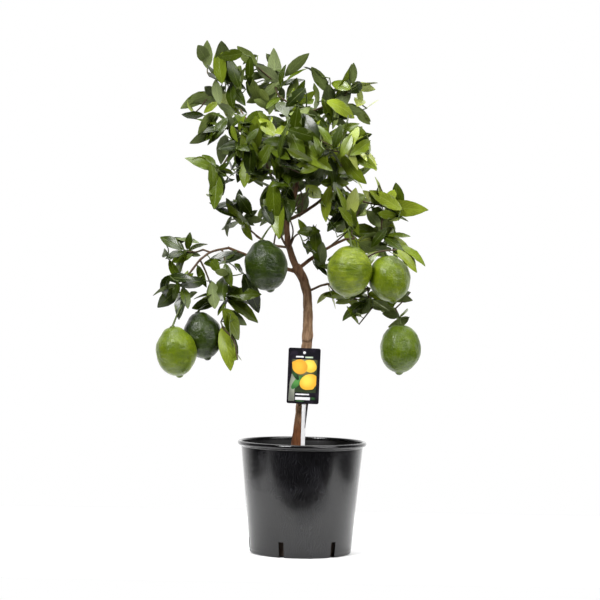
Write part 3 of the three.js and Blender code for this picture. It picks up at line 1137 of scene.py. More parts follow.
@dataclass(frozen=True)
class Blade:
    """The cut of a leaf blade; columns are shares of half its breadth."""

    rows: int = 8
    columns: tuple[float, ...] = (-1.0, -0.52, -0.05, 0.05, 0.52, 1.0)
    sag: float = 0.18
    thickness: float = 0.5 * MM

    @staticmethod
    def breadth(share: float) -> float:
        """Returns the half breadth at a share of the length, from 0 to 1."""
        return math.sin(math.pi * share**0.92) ** 0.74 * (1 - 0.18 * share**3)

    def grow(self, shape: Shape, leaf: "Leaf") -> None:
        """Adds a leaf to a shape as one closed thin body.

        Args:
            shape: the shape of all the leaves.
            leaf: the leaf's place, pose and size.
        """
        side = leaf.way.cross(leaf.face).normalized()
        point = leaf.base.copy()
        shares = [0.5 - 0.5 * math.cos(math.pi * row / self.rows) for row in range(self.rows + 1)]
        corners: list[Vector] = []
        places: list[tuple[float, float]] = []
        for before, share in zip(shares, shares[1:]):
            lean = leaf.curl * (0.5 * (share + before) - 0.25)
            along = leaf.way * math.cos(lean) - leaf.face * math.sin(lean)
            point = point + along * (leaf.length * (share - before))
            if share > 0.999:
                break
            lift = leaf.face * math.cos(lean) + leaf.way * math.sin(lean)
            turned = Matrix.Rotation(leaf.twist * share, 3, leaf.way)
            across, rise = turned @ side, turned @ lift
            half = 0.5 * leaf.width * self.breadth(share)
            for column in self.columns:
                wave = leaf.wave * math.sin(leaf.phase + 15 * share + (1.4 if column > 0 else 0))
                height = abs(column) * math.sin(leaf.fold) + column**2 * (wave - self.sag)
                out = half * column * math.cos(leaf.fold)
                corners.append(point + across * out + rise * (half * height))
                places.append((0.5 + column / 2, share))
            corners.append(point - rise * self.thickness)
            places.append((0.5, share))
        self._close(shape, leaf, [*corners, leaf.base, point], [*places, (0.5, 0.0), (0.5, 1.0)])

    def _close(
        self, shape: Shape, leaf: "Leaf", corners: list[Vector], places: list[tuple[float, float]]
    ) -> None:
        """Adds a leaf's faces: a rib between two halves above, and two halves underneath.

        Args:
            shape: the shape of all the leaves.
            leaf: the leaf.
            corners: row by row, the corners above and the one underneath, then the base and the apex.
            places: where the corners lie on the surface.
        """
        wide = len(self.columns)
        span = wide + 1
        above = list(range(wide))
        below = [wide - 1, wide, 0]
        base, apex = len(corners) - 2, len(corners) - 1
        last = base - span
        faces: list[tuple[int, ...]] = []
        kinds: list[int] = []
        for line in (above, below):
            for place, (one, two) in enumerate(zip(line, line[1:])):
                rib = line is above and place == wide // 2 - 1
                kind = 3 * leaf.tone + (2 if line is below else int(rib))
                faces += [(base, two, one), (apex, last + one, last + two)]
                for low in range(0, last, span):
                    faces.append((low + one, low + two, low + span + two, low + span + one))
                kinds += [kind] * self.rows
        shape.add(corners, faces, kinds, places)


@dataclass
class Leaf:
    """Where a leaf grows, how it lies and how it is cut."""

    base: Vector
    way: Vector
    face: Vector
    length: float
    width: float
    curl: float
    fold: float
    twist: float
    wave: float
    phase: float
    tone: int

    def middle(self) -> Vector:
        """Returns the middle of the leaf, as if it were straight."""
        return self.base + self.way * self.length / 2


@dataclass
class Mass:
    """One foliage solid: its middle, its furthest tips, and what lies inside it."""

    name: str
    middle: Vector
    tips: list[Vector]
    tree: BVHTree
    low: Vector
    high: Vector
    most_tips: ClassVar[int] = 8
    tip_reach: ClassVar[float] = 1.1
    tip_spread: ClassVar[float] = math.radians(27)

    @classmethod
    def read(cls, name: str, mesh: bpy.types.Mesh) -> "Mass":
        """Reads a mass off its solid.

        Args:
            name: the mass's node.
            mesh: the node's mesh.

        Returns:
            The mass.
        """
        corners = [vertex.co.copy() for vertex in mesh.vertices]
        area = sum(polygon.area for polygon in mesh.polygons)
        middle = sum((polygon.center * polygon.area for polygon in mesh.polygons), Vector()) / area
        tree = BVHTree.FromPolygons(corners, [tuple(polygon.vertices) for polygon in mesh.polygons])
        reaches = sorted((corner - middle).length for corner in corners)
        usual = reaches[len(reaches) // 2]
        tips: list[Vector] = []
        for corner in sorted(corners, key=lambda corner: -(corner - middle).length):
            way = corner - middle
            if way.length < usual * cls.tip_reach or len(tips) == cls.most_tips:
                break
            if all(way.angle(tip - middle) > cls.tip_spread for tip in tips):
                tips.append(corner)
        low = Vector(min(corner[axis] for corner in corners) for axis in range(3))
        high = Vector(max(corner[axis] for corner in corners) for axis in range(3))
        return cls(name, middle, tips, tree, low, high)

    def depth(self, point: Vector) -> float:
        """Returns how deep a point lies in the mass, below 0 outside it."""
        place, normal, _, gap = self.tree.find_nearest(point)
        return gap if (point - place).dot(normal) < 0 else -gap

    def spots(self, room: float, rim: float, chance: random.Random) -> list[Vector]:
        """Scatters points evenly through the mass.

        Args:
            room: the least distance between two points.
            rim: how deep a point lies at least.
            chance: the source of chance.

        Returns:
            The points.
        """
        size = self.high - self.low
        tries = round(9 * size.x * size.y * size.z / room**3)
        found: list[Vector] = []
        for _ in range(tries):
            point = self.low + Vector(span * chance.random() for span in size)
            if all((point - other).length > room for other in found) and self.depth(point) > rim:
                found.append(point)
        return found


@dataclass
class Fruit:
    """One fruit: the mass that holds it, its place there as shares of the mass's box, and its size."""

    mass: str
    share: tuple[float, float, float]
    width: float
    length: float
    lean: tuple[float, float]
    ripeness: Ripeness
    neck: float = 0.0
    ribs: float = 0.0

    @cached_property
    def centre(self) -> Vector:
        """The middle of the fruit."""
        low, high = box(FOLIAGE + self.mass)
        return Vector(blend(low[axis], high[axis], self.share[axis]) for axis in range(3))

    @cached_property
    def place(self) -> Matrix:
        """The matrix that puts an upright fruit in its place."""
        turn = turn_about(self.lean[0], "Y") @ turn_about(self.lean[1], "X")
        return Matrix.Translation(self.centre) @ turn

    @cached_property
    def inverse(self) -> Matrix:
        """The matrix that takes a point of the scene to the upright fruit."""
        return self.place.inverted()

    def holds(self, point: Vector, room: float = 1.0) -> bool:
        """Tells whether a point lies in the fruit.

        Args:
            point: the point.
            room: how large the fruit is taken to be, beside its own size.

        Returns:
            Whether it does.
        """
        inside = self.inverse @ point
        flat = math.hypot(inside.x, inside.y) / (self.width / 2 * room)
        return math.hypot(flat, inside.z / (self.length / 2 * room)) < 1

    def hidden(self, point: Vector) -> bool:
        """Returns whether a point lies before the fruit, where it would hide its front."""
        level = Vector((point.x, self.centre.y, point.z))
        return point.y < self.centre.y and self.holds(level, 0.9)

    def head(self) -> Vector:
        """Returns the top of the fruit, where its stalk joins it."""
        return self.place @ Vector((0, 0, self.length / 2 - 1.5 * MM))

    def profile(self, rows: int = 60) -> list[tuple[float, float]]:
        """Draws the fruit's outline from its stalk end to its nipple.

        Args:
            rows: how many steps it has.

        Returns:
            Radius and height pairs.
        """
        outline = []
        for row in range(rows + 1):
            share = 0.5 - 0.5 * math.cos(math.pi * row / rows)
            round_share = clamp((share - 0.012) / 0.945)
            body = 2 * math.sqrt(round_share * (1 - round_share))
            neck = self.neck * math.exp(-(((share - 0.02) / 0.09) ** 2)) * 0.34
            squeeze = 1 - self.neck * 0.34 * math.exp(-(((share - 0.13) / 0.1) ** 2))
            nipple = 0.2 * math.sqrt(max(0.0, 1 - ((share - 0.93) / 0.07) ** 2)) if share > 0.86 else 0.0
            dimple = 0.02 * (1 - self.neck) * math.exp(-((share / 0.03) ** 2)) if share < 0.1 else 0.0
            radius = 0.0 if row in (0, rows) else max(body * squeeze, neck, nipple, 0.012)
            outline.append((radius * self.width / 2, self.length * (0.5 - share - dimple)))
        return outline

    def grow(self, shape: Shape, slot: int) -> None:
        """Adds the fruit to a shape.

        Args:
            shape: the shape of all the fruit.
            slot: its material slot.
        """

        def relief(corner: Vector) -> float:
            """Shapes the skin, with lumps, wrinkles and soft ribs.

            Args:
                corner: a corner of the fruit.

            Returns:
                How far the skin stands off the turned form there.
            """
            own = Vector((self.width, self.length, self.share[0])) * 90
            lumps = noise.noise(corner * 38 + own) * 2.0
            wrinkles = noise.noise(Vector((corner.x * 190, corner.y * 190, corner.z * 90)) + own) * 0.8
            ribs = math.cos(7 * math.atan2(corner.y, corner.x) + 9 * corner.z / self.length)
            bulge = clamp(math.hypot(corner.x, corner.y) / (self.width / 2))
            return (lumps + wrinkles + ribs * self.ribs) * MM * bulge

        shape.turned(self.profile(), 80, self.place, slot, relief)


CALYX = ((0, 1.6), (2.2, 1.4), (4.2, 0.6), (4.6, 0), (3.6, -0.5), (0, -0.6))


@dataclass(frozen=True)
class Habit:
    """How shoots and leaves grow and lie, as ranges; turns are in degrees, bare twigs in millimetres."""

    length: tuple[float, float] = (40 * MM, 80 * MM)
    breadth: tuple[float, float] = (0.36, 0.5)
    curl: tuple[float, float] = (4, 46)
    fold: tuple[float, float] = (6, 26)
    twist: tuple[float, float] = (-22, 22)
    wave: tuple[float, float] = (0.02, 0.12)
    spread: tuple[float, float] = (35, 80)
    droop: tuple[float, float] = (-0.4, 0.1)
    sink: tuple[float, float] = (-0.5, 0.3)
    bow: tuple[float, float] = (0.04, 0.16)
    spacing: tuple[float, float] = (0.8, 1.3)
    stalk: tuple[float, float] = (0.7, 1.1)
    side_size: tuple[float, float] = (0.7, 1.0)
    bare_length: tuple[float, float] = (45, 85)


@dataclass
class Crown:
    """The leaves, twigs and fruit that fill the foliage solids."""

    wood: Wood
    fruit: list[Fruit]
    seed: int = 27
    room: float = 21 * MM
    rim: float = 3 * MM
    habit: Habit = field(default_factory=Habit)
    hub_twig: float = 1.7 * MM
    bare_twig: float = 1.5 * MM
    woody_twig: float = 1.3 * MM
    lie_tries: int = 7
    side_tries: int = 6
    front_edge: tuple[float, float] = (-18 * MM, 28 * MM)
    stalk: float = 7 * MM
    internode: float = 16 * MM
    overhang: float = 0.5 * MM
    gap: float = 14 * MM
    alike: float = 0.85
    bare: int = 9
    bare_between: tuple[float, float] = (0.495, 0.555)
    bare_near: float = 55 * MM
    hub_shares: tuple[float, ...] = (0.3, 0.55, 0.8)
    checked_shares: tuple[float, ...] = (0.15, 0.45, 0.75, 1.0)
    clearance: float = 1.08
    vigour: dict[str, float] = field(
        default_factory=lambda: {
            "arm_hanging": 1.35,
            "arm_low": 1.2,
            "arm_mid": 1.15,
            "right_outer": 1.2,
            "right_mid": 1.1,
        }
    )
    blade: Blade = field(default_factory=Blade)
    masses: list[Mass] = field(default_factory=list)
    leaves: list[Leaf] = field(default_factory=list)
    twigs: Shape = field(default_factory=Shape)
    places: Places = field(default_factory=Places)

    def read(self, nodes: dict[str, bpy.types.Object]) -> None:
        """Reads the foliage solids.

        Args:
            nodes: the part's nodes by name.
        """
        for name, node in sorted(nodes.items()):
            if name.startswith(FOLIAGE):
                self.masses.append(Mass.read(name, node.data))
        self.places.points = self.wood.places.points.copy()

    def _bare(self, chance: random.Random) -> None:
        """Grows thin bare twigs up from the top of the trunk.

        Args:
            chance: the source of chance.
        """
        low, high = self.bare_between
        level = [Vector(point) for point in self.wood.places.points if low < point[2] < high]
        forks = [point for point in level if abs(point.x) < self.bare_near]
        for _ in range(self.bare):
            foot = chance.choice(forks)
            rise = Vector((chance.gauss(0.12, 0.4), chance.gauss(0, 0.4), 1)).normalized()
            tip = foot + rise * chance.uniform(*self.habit.bare_length) * MM
            self._twig(foot, tip, self.bare_twig, chance)

    def grow(self) -> None:
        """Grows into each mass, the nearest to the wood first."""
        self._bare(random.Random(self.seed))
        waiting = list(self.masses)
        while waiting:
            mass = min(waiting, key=lambda each: (self.places.nearest(each.middle) - each.middle).length)
            waiting.remove(mass)
            self._fill(mass, random.Random(f"{self.seed} {mass.name}"))

    def _fill(self, mass: Mass, chance: random.Random) -> None:
        """Grows the shoots of one mass, from its hub outwards.

        Args:
            mass: the mass.
            chance: its own source of chance.
        """
        start = self.places.nearest(mass.middle)
        ways = [mass.middle.lerp(start, share) for share in self.hub_shares]
        hub = next((spot for spot in ways if not self._blocked(start, spot)), start)
        if (hub - start).length > 2 * self.stalk:
            self._twig(start, hub, self.hub_twig, chance)
        wishes = [self._reach(mass, tip, hub, chance) for tip in mass.tips]
        for spot in mass.spots(self.room, self.rim, chance):
            wishes.append(self._lie(mass, spot, hub, chance))
        for base, apex in sorted(wishes, key=lambda wish: (wish[0] - hub).length):
            self._shoot(mass, base, apex, hub, chance)

    def _vigour(self, mass: Mass) -> float:
        """Returns how large a mass's leaves grow, beside the usual."""
        return self.vigour.get(mass.name.removeprefix(FOLIAGE), 1.0)

    def _span(self, mass: Mass, chance: random.Random) -> float:
        """Returns the length of one of a mass's leaves."""
        return chance.uniform(*self.habit.length) * self._vigour(mass)

    def _reach(self, mass: Mass, tip: Vector, hub: Vector, chance: random.Random) -> tuple[Vector, Vector]:
        """Lays a leaf so that it ends at a tip of its mass.

        Args:
            mass: the mass.
            tip: the tip.
            hub: the place where the mass's wood starts.
            chance: the source of chance.

        Returns:
            The leaf's base and its apex.
        """
        way = (tip - hub).normalized()
        length = min(self._span(mass, chance) * 1.15, (tip - hub).length * 0.9)
        return tip - way * length, tip

    def _lie(self, mass: Mass, spot: Vector, hub: Vector, chance: random.Random) -> tuple[Vector, Vector]:
        """Lays a leaf over a spot in a mass, so that it stays in the mass.

        Args:
            mass: the mass.
            spot: the middle of the leaf.
            hub: the place where the mass's wood starts.
            chance: the source of chance.

        Returns:
            The leaf's base and its apex.
        """
        out = (spot - self.places.nearest(spot, hub, 0.3)).normalized()
        length = self._span(mass, chance)
        best, best_depth = None, -1.0
        for _ in range(self.lie_tries):
            way = out * 0.8 + Vector(chance.gauss(0, 0.6) for _ in range(3))
            way = (way + UP * chance.uniform(*self.habit.sink)).normalized()
            ends = (spot - way * length * 0.5, spot + way * length * 0.5)
            depth = min(mass.depth(ends[1]), mass.depth(ends[0]) + self.overhang)
            if depth > best_depth:
                best, best_depth = ends, depth
            if depth > -self.overhang:
                break
            length = max(length * 0.93, self.habit.length[0] * 0.8)
        return best

    def _twig(self, foot: Vector, tip: Vector, thick: float, chance: random.Random) -> list[Vector]:
        """Adds a twig between two points, for others to grow from.

        Args:
            foot: where it starts.
            tip: where it ends.
            thick: its radius at its foot.
            chance: the source of chance.

        Returns:
            The points along it.
        """
        span = tip - foot
        bow = flat_to(Vector(chance.gauss(0, 1) for _ in range(3)) - UP * 0.5, span.normalized())
        middle = foot.lerp(tip, 0.5) + bow * span.length * chance.uniform(*self.habit.bow)
        thin = max(0.75 * MM, thick * 0.7)
        route, radii = smooth_route([foot, middle, tip], [thick, (thick + thin) / 2, thin], 5 * MM)
        self.twigs.tube(route, radii, 7, 0 if thick > self.woody_twig else 1)
        self.places.add(route[1:])
        return route

    def _shoot(self, mass: Mass, base: Vector, apex: Vector, hub: Vector, chance: random.Random) -> None:
        """Grows a shoot that ends in a given leaf, with others along it where it is long.

        Args:
            mass: the mass that it grows in.
            base: the base of its last leaf.
            apex: the apex of that leaf.
            hub: the place where the mass's wood starts.
            chance: the source of chance.
        """
        foot = self.places.nearest(base, hub, 0.25)
        if self._blocked(base, apex) or self._crowded(base, apex) or self._blocked(foot, base):
            return
        tone = self._tone(mass, apex, chance)
        gap = (base - foot).length
        if gap > self.stalk:
            route = self._twig(foot, base, 0.9 * MM + 0.012 * gap, chance)
            turn = chance.uniform(0, math.tau)
            spot = gap - self.internode
            while spot > 0.3 * self.internode:
                self._side_leaf(mass, route, spot / gap, (apex - base).length, tone, turn, chance)
                turn += GOLDEN_ANGLE
                spot -= self.internode * chance.uniform(*self.habit.spacing)
            foot = base - (apex - base).normalized() * MM
        self._leaf(foot, base, apex, tone, chance)

    def _side_leaf(
        self,
        mass: Mass,
        route: list[Vector],
        share: float,
        length: float,
        tone: int,
        turn: float,
        chance: random.Random,
    ) -> None:
        """Sets a leaf on the side of a shoot, where it stays in its mass.

        Args:
            mass: the mass.
            route: the points along the shoot.
            share: how far along the shoot it stands.
            length: the length of the shoot's last leaf.
            tone: the shoot's leaf tone.
            turn: where round the shoot it stands.
            chance: the source of chance.
        """
        place = route[round(share * (len(route) - 1))]
        way = (route[-1] - route[0]).normalized()
        across = flat_to(way.orthogonal(), way)
        beside = way.cross(across)
        habit = self.habit
        own = length * chance.uniform(*habit.side_size)
        droop = chance.uniform(*habit.droop)
        for attempt in range(self.side_tries):
            angle = turn + attempt * GOLDEN_ANGLE
            spread = math.radians(chance.uniform(*habit.spread))
            out = across * math.cos(angle) + beside * math.sin(angle)
            lie = (way * math.cos(spread) + out * math.sin(spread) + UP * droop).normalized()
            base = place + lie * self.stalk * chance.uniform(*habit.stalk)
            apex = base + lie * own
            fits = mass.depth(apex) > -self.overhang and not self._blocked(base, apex)
            if fits and not self._crowded(base, apex):
                self._leaf(place, base, apex, tone, chance)
                return
            own = max(own * 0.92, 0.6 * length)

    def _blocked(self, base: Vector, apex: Vector) -> bool:
        """Tells whether a fruit is in the way of a leaf or twig, or would be hidden by it.

        Args:
            base: where the leaf or twig starts.
            apex: where it ends.

        Returns:
            Whether it has to grow elsewhere.
        """
        points = [base.lerp(apex, share) for share in self.checked_shares]
        return any(
            fruit.holds(point, self.clearance) or fruit.hidden(point)
            for fruit in self.fruit
            for point in points
        )

    def _crowded(self, base: Vector, apex: Vector) -> bool:
        """Tells whether a leaf would lie close beside another and along it.

        Args:
            base: where its blade starts.
            apex: where its blade ends.

        Returns:
            Whether it would.
        """
        middle, way = base.lerp(apex, 0.5), (apex - base).normalized()
        return any(
            (leaf.middle() - middle).length < self.gap and leaf.way.dot(way) > self.alike
            for leaf in self.leaves
        )

    def _leaf(self, foot: Vector, base: Vector, apex: Vector, tone: int, chance: random.Random) -> None:
        """Adds a leaf and its stalk.

        Args:
            foot: where its stalk starts.
            base: where its blade starts.
            apex: where its blade ends.
            tone: its tone.
            chance: the source of chance.
        """
        habit = self.habit
        way = (apex - base).normalized()
        length = (apex - base).length
        toward = FRONT if chance.gauss(*self.front_edge) + base.y < 0 else -FRONT
        outward = Vector((base.x, base.y, 0)).normalized()
        facing = toward * 0.65 + UP * 0.45 + outward * 0.35 + Vector(chance.gauss(0, 0.48) for _ in range(3))
        curl = math.radians(chance.uniform(*habit.curl))
        self.leaves.append(
            Leaf(
                base=base,
                way=way,
                face=flat_to(facing, way),
                length=length * (1 + 0.035 * curl),
                width=length * chance.uniform(*habit.breadth),
                curl=curl,
                fold=math.radians(chance.uniform(*habit.fold)),
                twist=math.radians(chance.uniform(*habit.twist)),
                wave=chance.uniform(*habit.wave),
                phase=chance.uniform(0, math.tau),
                tone=tone,
            )
        )
        self.twigs.tube([foot, base, base + way * 2 * MM], [0.75 * MM, 0.65 * MM, 0.5 * MM], 5, 1)

    def _tone(self, mass: Mass, end: Vector, chance: random.Random) -> int:
        """Deals out the tone of a spray's leaves: darker within and lighter at the ends, partly as age and
        partly as painted shade inside the crown, and lighter towards the top and the right side as painted
        light.

        Args:
            mass: the mass that the spray grows in.
            end: the spray's end.
            chance: the source of chance.

        Returns:
            The tone, counted from the oldest and darkest.
        """
        # Painted light and shade: lighter towards the ends, the top and the right side, where the light
        # falls; the ends are also younger
        outer = clamp((end - mass.middle).length / (70 * MM))
        high = clamp((end.z - 0.4) / 0.4)
        painted_light_right = clamp(end.x / (110 * MM))
        young = 3 * (self._vigour(mass) - 1)
        level = 0.4 + 1.5 * outer + 0.4 * high + 1.4 * painted_light_right + young + chance.gauss(0, 1.2)
        return round(clamp(level, 0, len(LeafTone) - 1))

    def build(self) -> None:
        """Builds the leaves, the twigs, the fruit and their stalks."""
        leaves = Shape()
        for leaf in self.leaves:
            self.blade.grow(leaves, leaf)
        nodes = [mass.name for mass in self.masses]
        fruiting = [FOLIAGE + fruit.mass for fruit in self.fruit]
        sides = [finish.material() for tone in LeafTone for finish in tone.sides()]
        leaves.piece("leaves", sides, nodes, "foliage")
        self._fruit_pieces(sorted(set(fruiting)))
        self.twigs.piece("twigs", [TWIG_BARK.material(), GREEN_STEM.material()], [], "bark")
        log.info("%d leaves on %d masses", len(self.leaves), len(self.masses))

    def _fruit_pieces(self, nodes: list[str]) -> None:
        """Builds the fruit and hangs each from the nearest wood above it.

        Args:
            nodes: the foliage nodes that hold fruit.
        """
        shape = Shape()
        kinds = list(Ripeness)
        for fruit in self.fruit:
            fruit.grow(shape, kinds.index(fruit.ripeness))
            head = fruit.head()
            foot = self.places.nearest(head + UP * 22 * MM)
            middle = head.lerp(foot, 0.5) + UP * 0.12 * (foot - head).length
            route, radii = smooth_route([foot, middle, head], [1.3 * MM, 1.2 * MM, 1.8 * MM], 4 * MM)
            self.twigs.tube(route, radii, 8, 1)
            calyx = fruit.place @ Matrix.Translation((0, 0, fruit.length / 2 - 1.6 * MM))
            self.twigs.turned([(radius * MM, height * MM) for radius, height in CALYX], 10, calyx, 1)
        shape.piece("fruit", [kind.value.material() for kind in kinds], [], "foliage")


FRUIT = [
    Fruit(
        "left_hanging", (0.41, 0.53, 0.47), width=65 * MM, length=86 * MM,
        lean=(-9, 8), ripeness=Ripeness.MID, neck=0.35, ribs=0.2,
    ),
    Fruit(
        "arm_hanging", (0.31, 0.62, 0.57), width=62 * MM, length=82 * MM,
        lean=(-14, -4), ripeness=Ripeness.DARK, neck=0.3,
    ),
    Fruit(
        "centre_fruiting", (0.56, 0.5, 0.5), width=69 * MM, length=87 * MM,
        lean=(-12, 6), ripeness=Ripeness.DARK, neck=0.45, ribs=0.5,
    ),
    Fruit(
        "right_fruiting", (0.27, 0.38, 0.53), width=72 * MM, length=88 * MM,
        lean=(4, 14), ripeness=Ripeness.BRIGHT, neck=0.1, ribs=0.8,
    ),
    Fruit(
        "right_fruiting", (0.72, 0.57, 0.42), width=66 * MM, length=80 * MM,
        lean=(-10, -6), ripeness=Ripeness.MID, neck=0.1, ribs=0.5,
    ),
    Fruit(
        "right_hanging", (0.5, 0.47, 0.38), width=66 * MM, length=84 * MM,
        lean=(1, 0), ripeness=Ripeness.GREEN, ribs=0.3,
    ),
]


# ---- pot, compost and label ----------------------------------------------------------------------


@dataclass
class Pot:
    """The nursery pot, turned to its outline and slotted round its foot."""

    wall: float = 1.6 * MM
    rim_depth: float = 9 * MM
    wall_top: float = 99.3 * MM
    wall_foot: float = 83.2 * MM
    sides: int = 216
    slot_count: int = 6
    slot_width: float = 8.5 * MM
    slot_height: float = 25 * MM
    slot_depth: float = 12 * MM
    first_slot: float = -21.5
    foot_round: float = 2.7 * MM
    foot_inset: float = 3.4 * MM
    floor_inset: float = 4 * MM
    wall_start: float = 8 * MM
    rim_radii: tuple[float, float] = (3.1 * MM, 3.6 * MM)
    wall_rows: int = 12
    band_rows: tuple[float, ...] = (0.985, 0.995, 1.0)

    def _outside(self, height: float, rim: float) -> list[tuple[float, float]]:
        """Draws the pot's section from the middle underneath, up its side and over its rim.

        Args:
            height: the pot's height.
            rim: the radius of its rim.

        Returns:
            Radius and height pairs.
        """
        foot, top, start = self.wall_foot, self.wall_top, self.wall_start
        shoulder = height - self.rim_depth
        shares = [*(row / self.wall_rows for row in range(1, self.wall_rows)), *self.band_rows]
        bend = (foot - self.foot_inset, self.foot_round)
        roll = (rim - self.rim_radii[0], height - self.rim_radii[1])
        return [
            *((0, 0), (foot * 0.5, 0), (foot - self.floor_inset, 0)),
            *arc(bend, (self.foot_round, self.foot_round), range(-90, 1, 18)),
            *((foot - 0.55 * MM, 6.4 * MM), (foot, 7.1 * MM), (foot + 0.1 * MM, start)),
            *((blend(foot, top, share), blend(start, shoulder, share)) for share in shares),
            *((top + 0.5 * MM, shoulder + 0.6 * MM), (top + 1.6 * MM, shoulder + 1.2 * MM)),
            *arc(roll, self.rim_radii, range(-80, 171, 25)),
        ]

    def _inside(self, height: float) -> list[tuple[float, float]]:
        """Draws the rest of the section, from under the rim down to the middle inside.

        Args:
            height: the pot's height.

        Returns:
            Radius and height pairs.
        """
        foot, wall, inner = self.wall_foot, self.wall, self.wall_top - self.wall
        shoulder = height - self.rim_depth
        return [
            *((inner + 1.6 * MM, height - 5 * MM), (inner + 0.4 * MM, shoulder + 1 * MM), (inner, shoulder)),
            *((foot - wall, 7 * MM), (foot - self.floor_inset, wall), (foot * 0.5, wall), (0, wall)),
        ]

    def build(self) -> None:
        """Builds the pot and cuts its drainage slots."""
        low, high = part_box("pot")
        shape = Shape()
        height = high[2] - low[2]
        outside, inside = self._outside(height, (high[0] - low[0]) / 2), self._inside(height)
        shape.turned(outside + inside, self.sides, Matrix())
        edge = (len(outside) - 1) / (len(outside) + len(inside) - 1)
        shape.slots = [int(all(shape.places[index][1] > edge for index in face)) for face in shape.faces]
        plastics = [POT_PLASTIC.material(), POT_INSIDE.material()]
        pot = shape.piece("nursery_pot", plastics, ["pot"], "pot")
        tidy_normals(pot)
        cutter = self._cutter()
        cut = pot.modifiers.new("slots", "BOOLEAN")
        cut.object, cut.operation, cut.solver = cutter, "DIFFERENCE", "EXACT"
        apply_modifiers(pot)
        bpy.data.objects.remove(cutter)

    def _cutter(self) -> bpy.types.Object:
        """Makes the blocks that cut the slots.

        Returns:
            All of them as one object.
        """
        past = 2 * MM
        size = Matrix.Diagonal((self.slot_width, 2 * self.slot_depth, self.slot_height + past, 1))
        place = Matrix.Translation((0, -self.wall_foot, (self.slot_height - past) / 2))
        mesh = bmesh.new()
        for index in range(self.slot_count):
            turn = turn_about(self.first_slot + index * 360 / self.slot_count, "Z")
            bmesh.ops.create_cube(mesh, size=1, matrix=turn @ place @ size)
        data = bpy.data.meshes.new("slot_blocks")
        mesh.to_mesh(data)
        mesh.free()
        made = bpy.data.objects.new("slot_blocks", data)
        bpy.context.scene.collection.objects.link(made)
        return made


def tidy_normals(made: bpy.types.Object) -> None:
    """Turns all the faces of an object outwards.

    Args:
        made: the object.
    """
    mesh = bmesh.new()
    mesh.from_mesh(made.data)
    bmesh.ops.recalc_face_normals(mesh, faces=mesh.faces)
    mesh.to_mesh(made.data)
    mesh.free()


def apply_modifiers(made: bpy.types.Object) -> None:
    """Replaces an object's mesh by what its modifiers make of it.

    Args:
        made: the object.
    """
    seen = made.evaluated_get(bpy.context.evaluated_depsgraph_get())
    data = bpy.data.meshes.new_from_object(seen)
    made.modifiers.clear()
    made.data = data


CRUMB = ((0, 1), (0.62, 0.7), (1, 0.1), (0.8, -0.6), (0, -0.9))


@dataclass
class Compost:
    """The potting compost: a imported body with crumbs, bark chips and grit on top."""

    seed: int = 5
    foot_radius: float = 74 * MM
    neck_height: float = 34 * MM
    neck_reach: float = 8 * MM
    neck_slope: float = 4 * MM
    edge_drop: float = 3 * MM
    sunk: float = 1.2 * MM
    rows: int = 26
    sides: int = 96
    crumbs: int = 420
    crumb_size: tuple[float, float] = (1.2 * MM, 4.2 * MM)
    chip_share: float = 0.3
    roughness: float = 2.0 * MM

    def build(self) -> None:
        """Builds the compost and its loose crumbs."""
        low, high = box("compost")
        radius, top = (high.x - low.x) / 2, high.z
        shape = Shape()
        shape.turned(self._profile(radius, low.z, top), self.sides, Matrix(), 0)
        for corner in shape.corners:
            if corner.z > top - 2 * MM:
                swell = noise.noise(corner * 55) * 0.7 + noise.noise(corner * 260) * 0.6
                corner.z += swell * self.roughness
        chance = random.Random(self.seed)
        for _ in range(self.crumbs):
            self._crumb(shape, radius, top, chance)
        soils = [COMPOST.material(), CHIPS.material()]
        shape.piece("compost_fill", soils, ["compost"], "compost", smooth=False)

    def _profile(self, radius: float, foot: float, top: float) -> list[tuple[float, float]]:
        """Draws the compost's section, kept clear of the wall behind the slots.

        Args:
            radius: its radius at the top.
            foot: the height of its underside.
            top: the height of its top.

        Returns:
            Radius and height pairs.
        """
        neck = foot + self.neck_height
        return [
            *((0, foot), (self.foot_radius, foot), (self.foot_radius, neck - self.neck_slope)),
            *((self.foot_radius + self.neck_reach, neck), (radius - 0.3 * MM, top - self.edge_drop)),
            *((radius * (1 - row / self.rows), top - self.sunk) for row in range(self.rows + 1)),
        ]

    def _crumb(self, shape: Shape, radius: float, top: float, chance: random.Random) -> None:
        """Adds one crumb or chip to the top of the compost.

        Args:
            shape: the compost.
            radius: the compost's radius.
            top: its height.
            chance: the source of chance.
        """
        turn, out = chance.uniform(0, math.tau), radius * 0.97 * math.sqrt(chance.random())
        size = chance.uniform(*self.crumb_size)
        sides = (chance.uniform(0.8, 2.4), chance.uniform(0.6, 1.1), chance.uniform(0.35, 0.8))
        stretch = Vector(sides) * size
        spin = Matrix.Rotation(chance.uniform(0, math.tau), 4, "Z")
        tilt = Matrix.Rotation(chance.gauss(0, 0.3), 4, "X")
        place = Matrix.Translation((out * math.cos(turn), out * math.sin(turn), top + 0.2 * size))
        place = place @ spin @ tilt
        inner = Shape()
        inner.turned(CRUMB, 6, Matrix())
        corners = [
            place @ Vector(part * span * chance.uniform(0.8, 1.2) for part, span in zip(corner, stretch))
            for corner in inner.corners
        ]
        shape.add(corners, inner.faces, 1 if chance.random() < self.chip_share else 0)


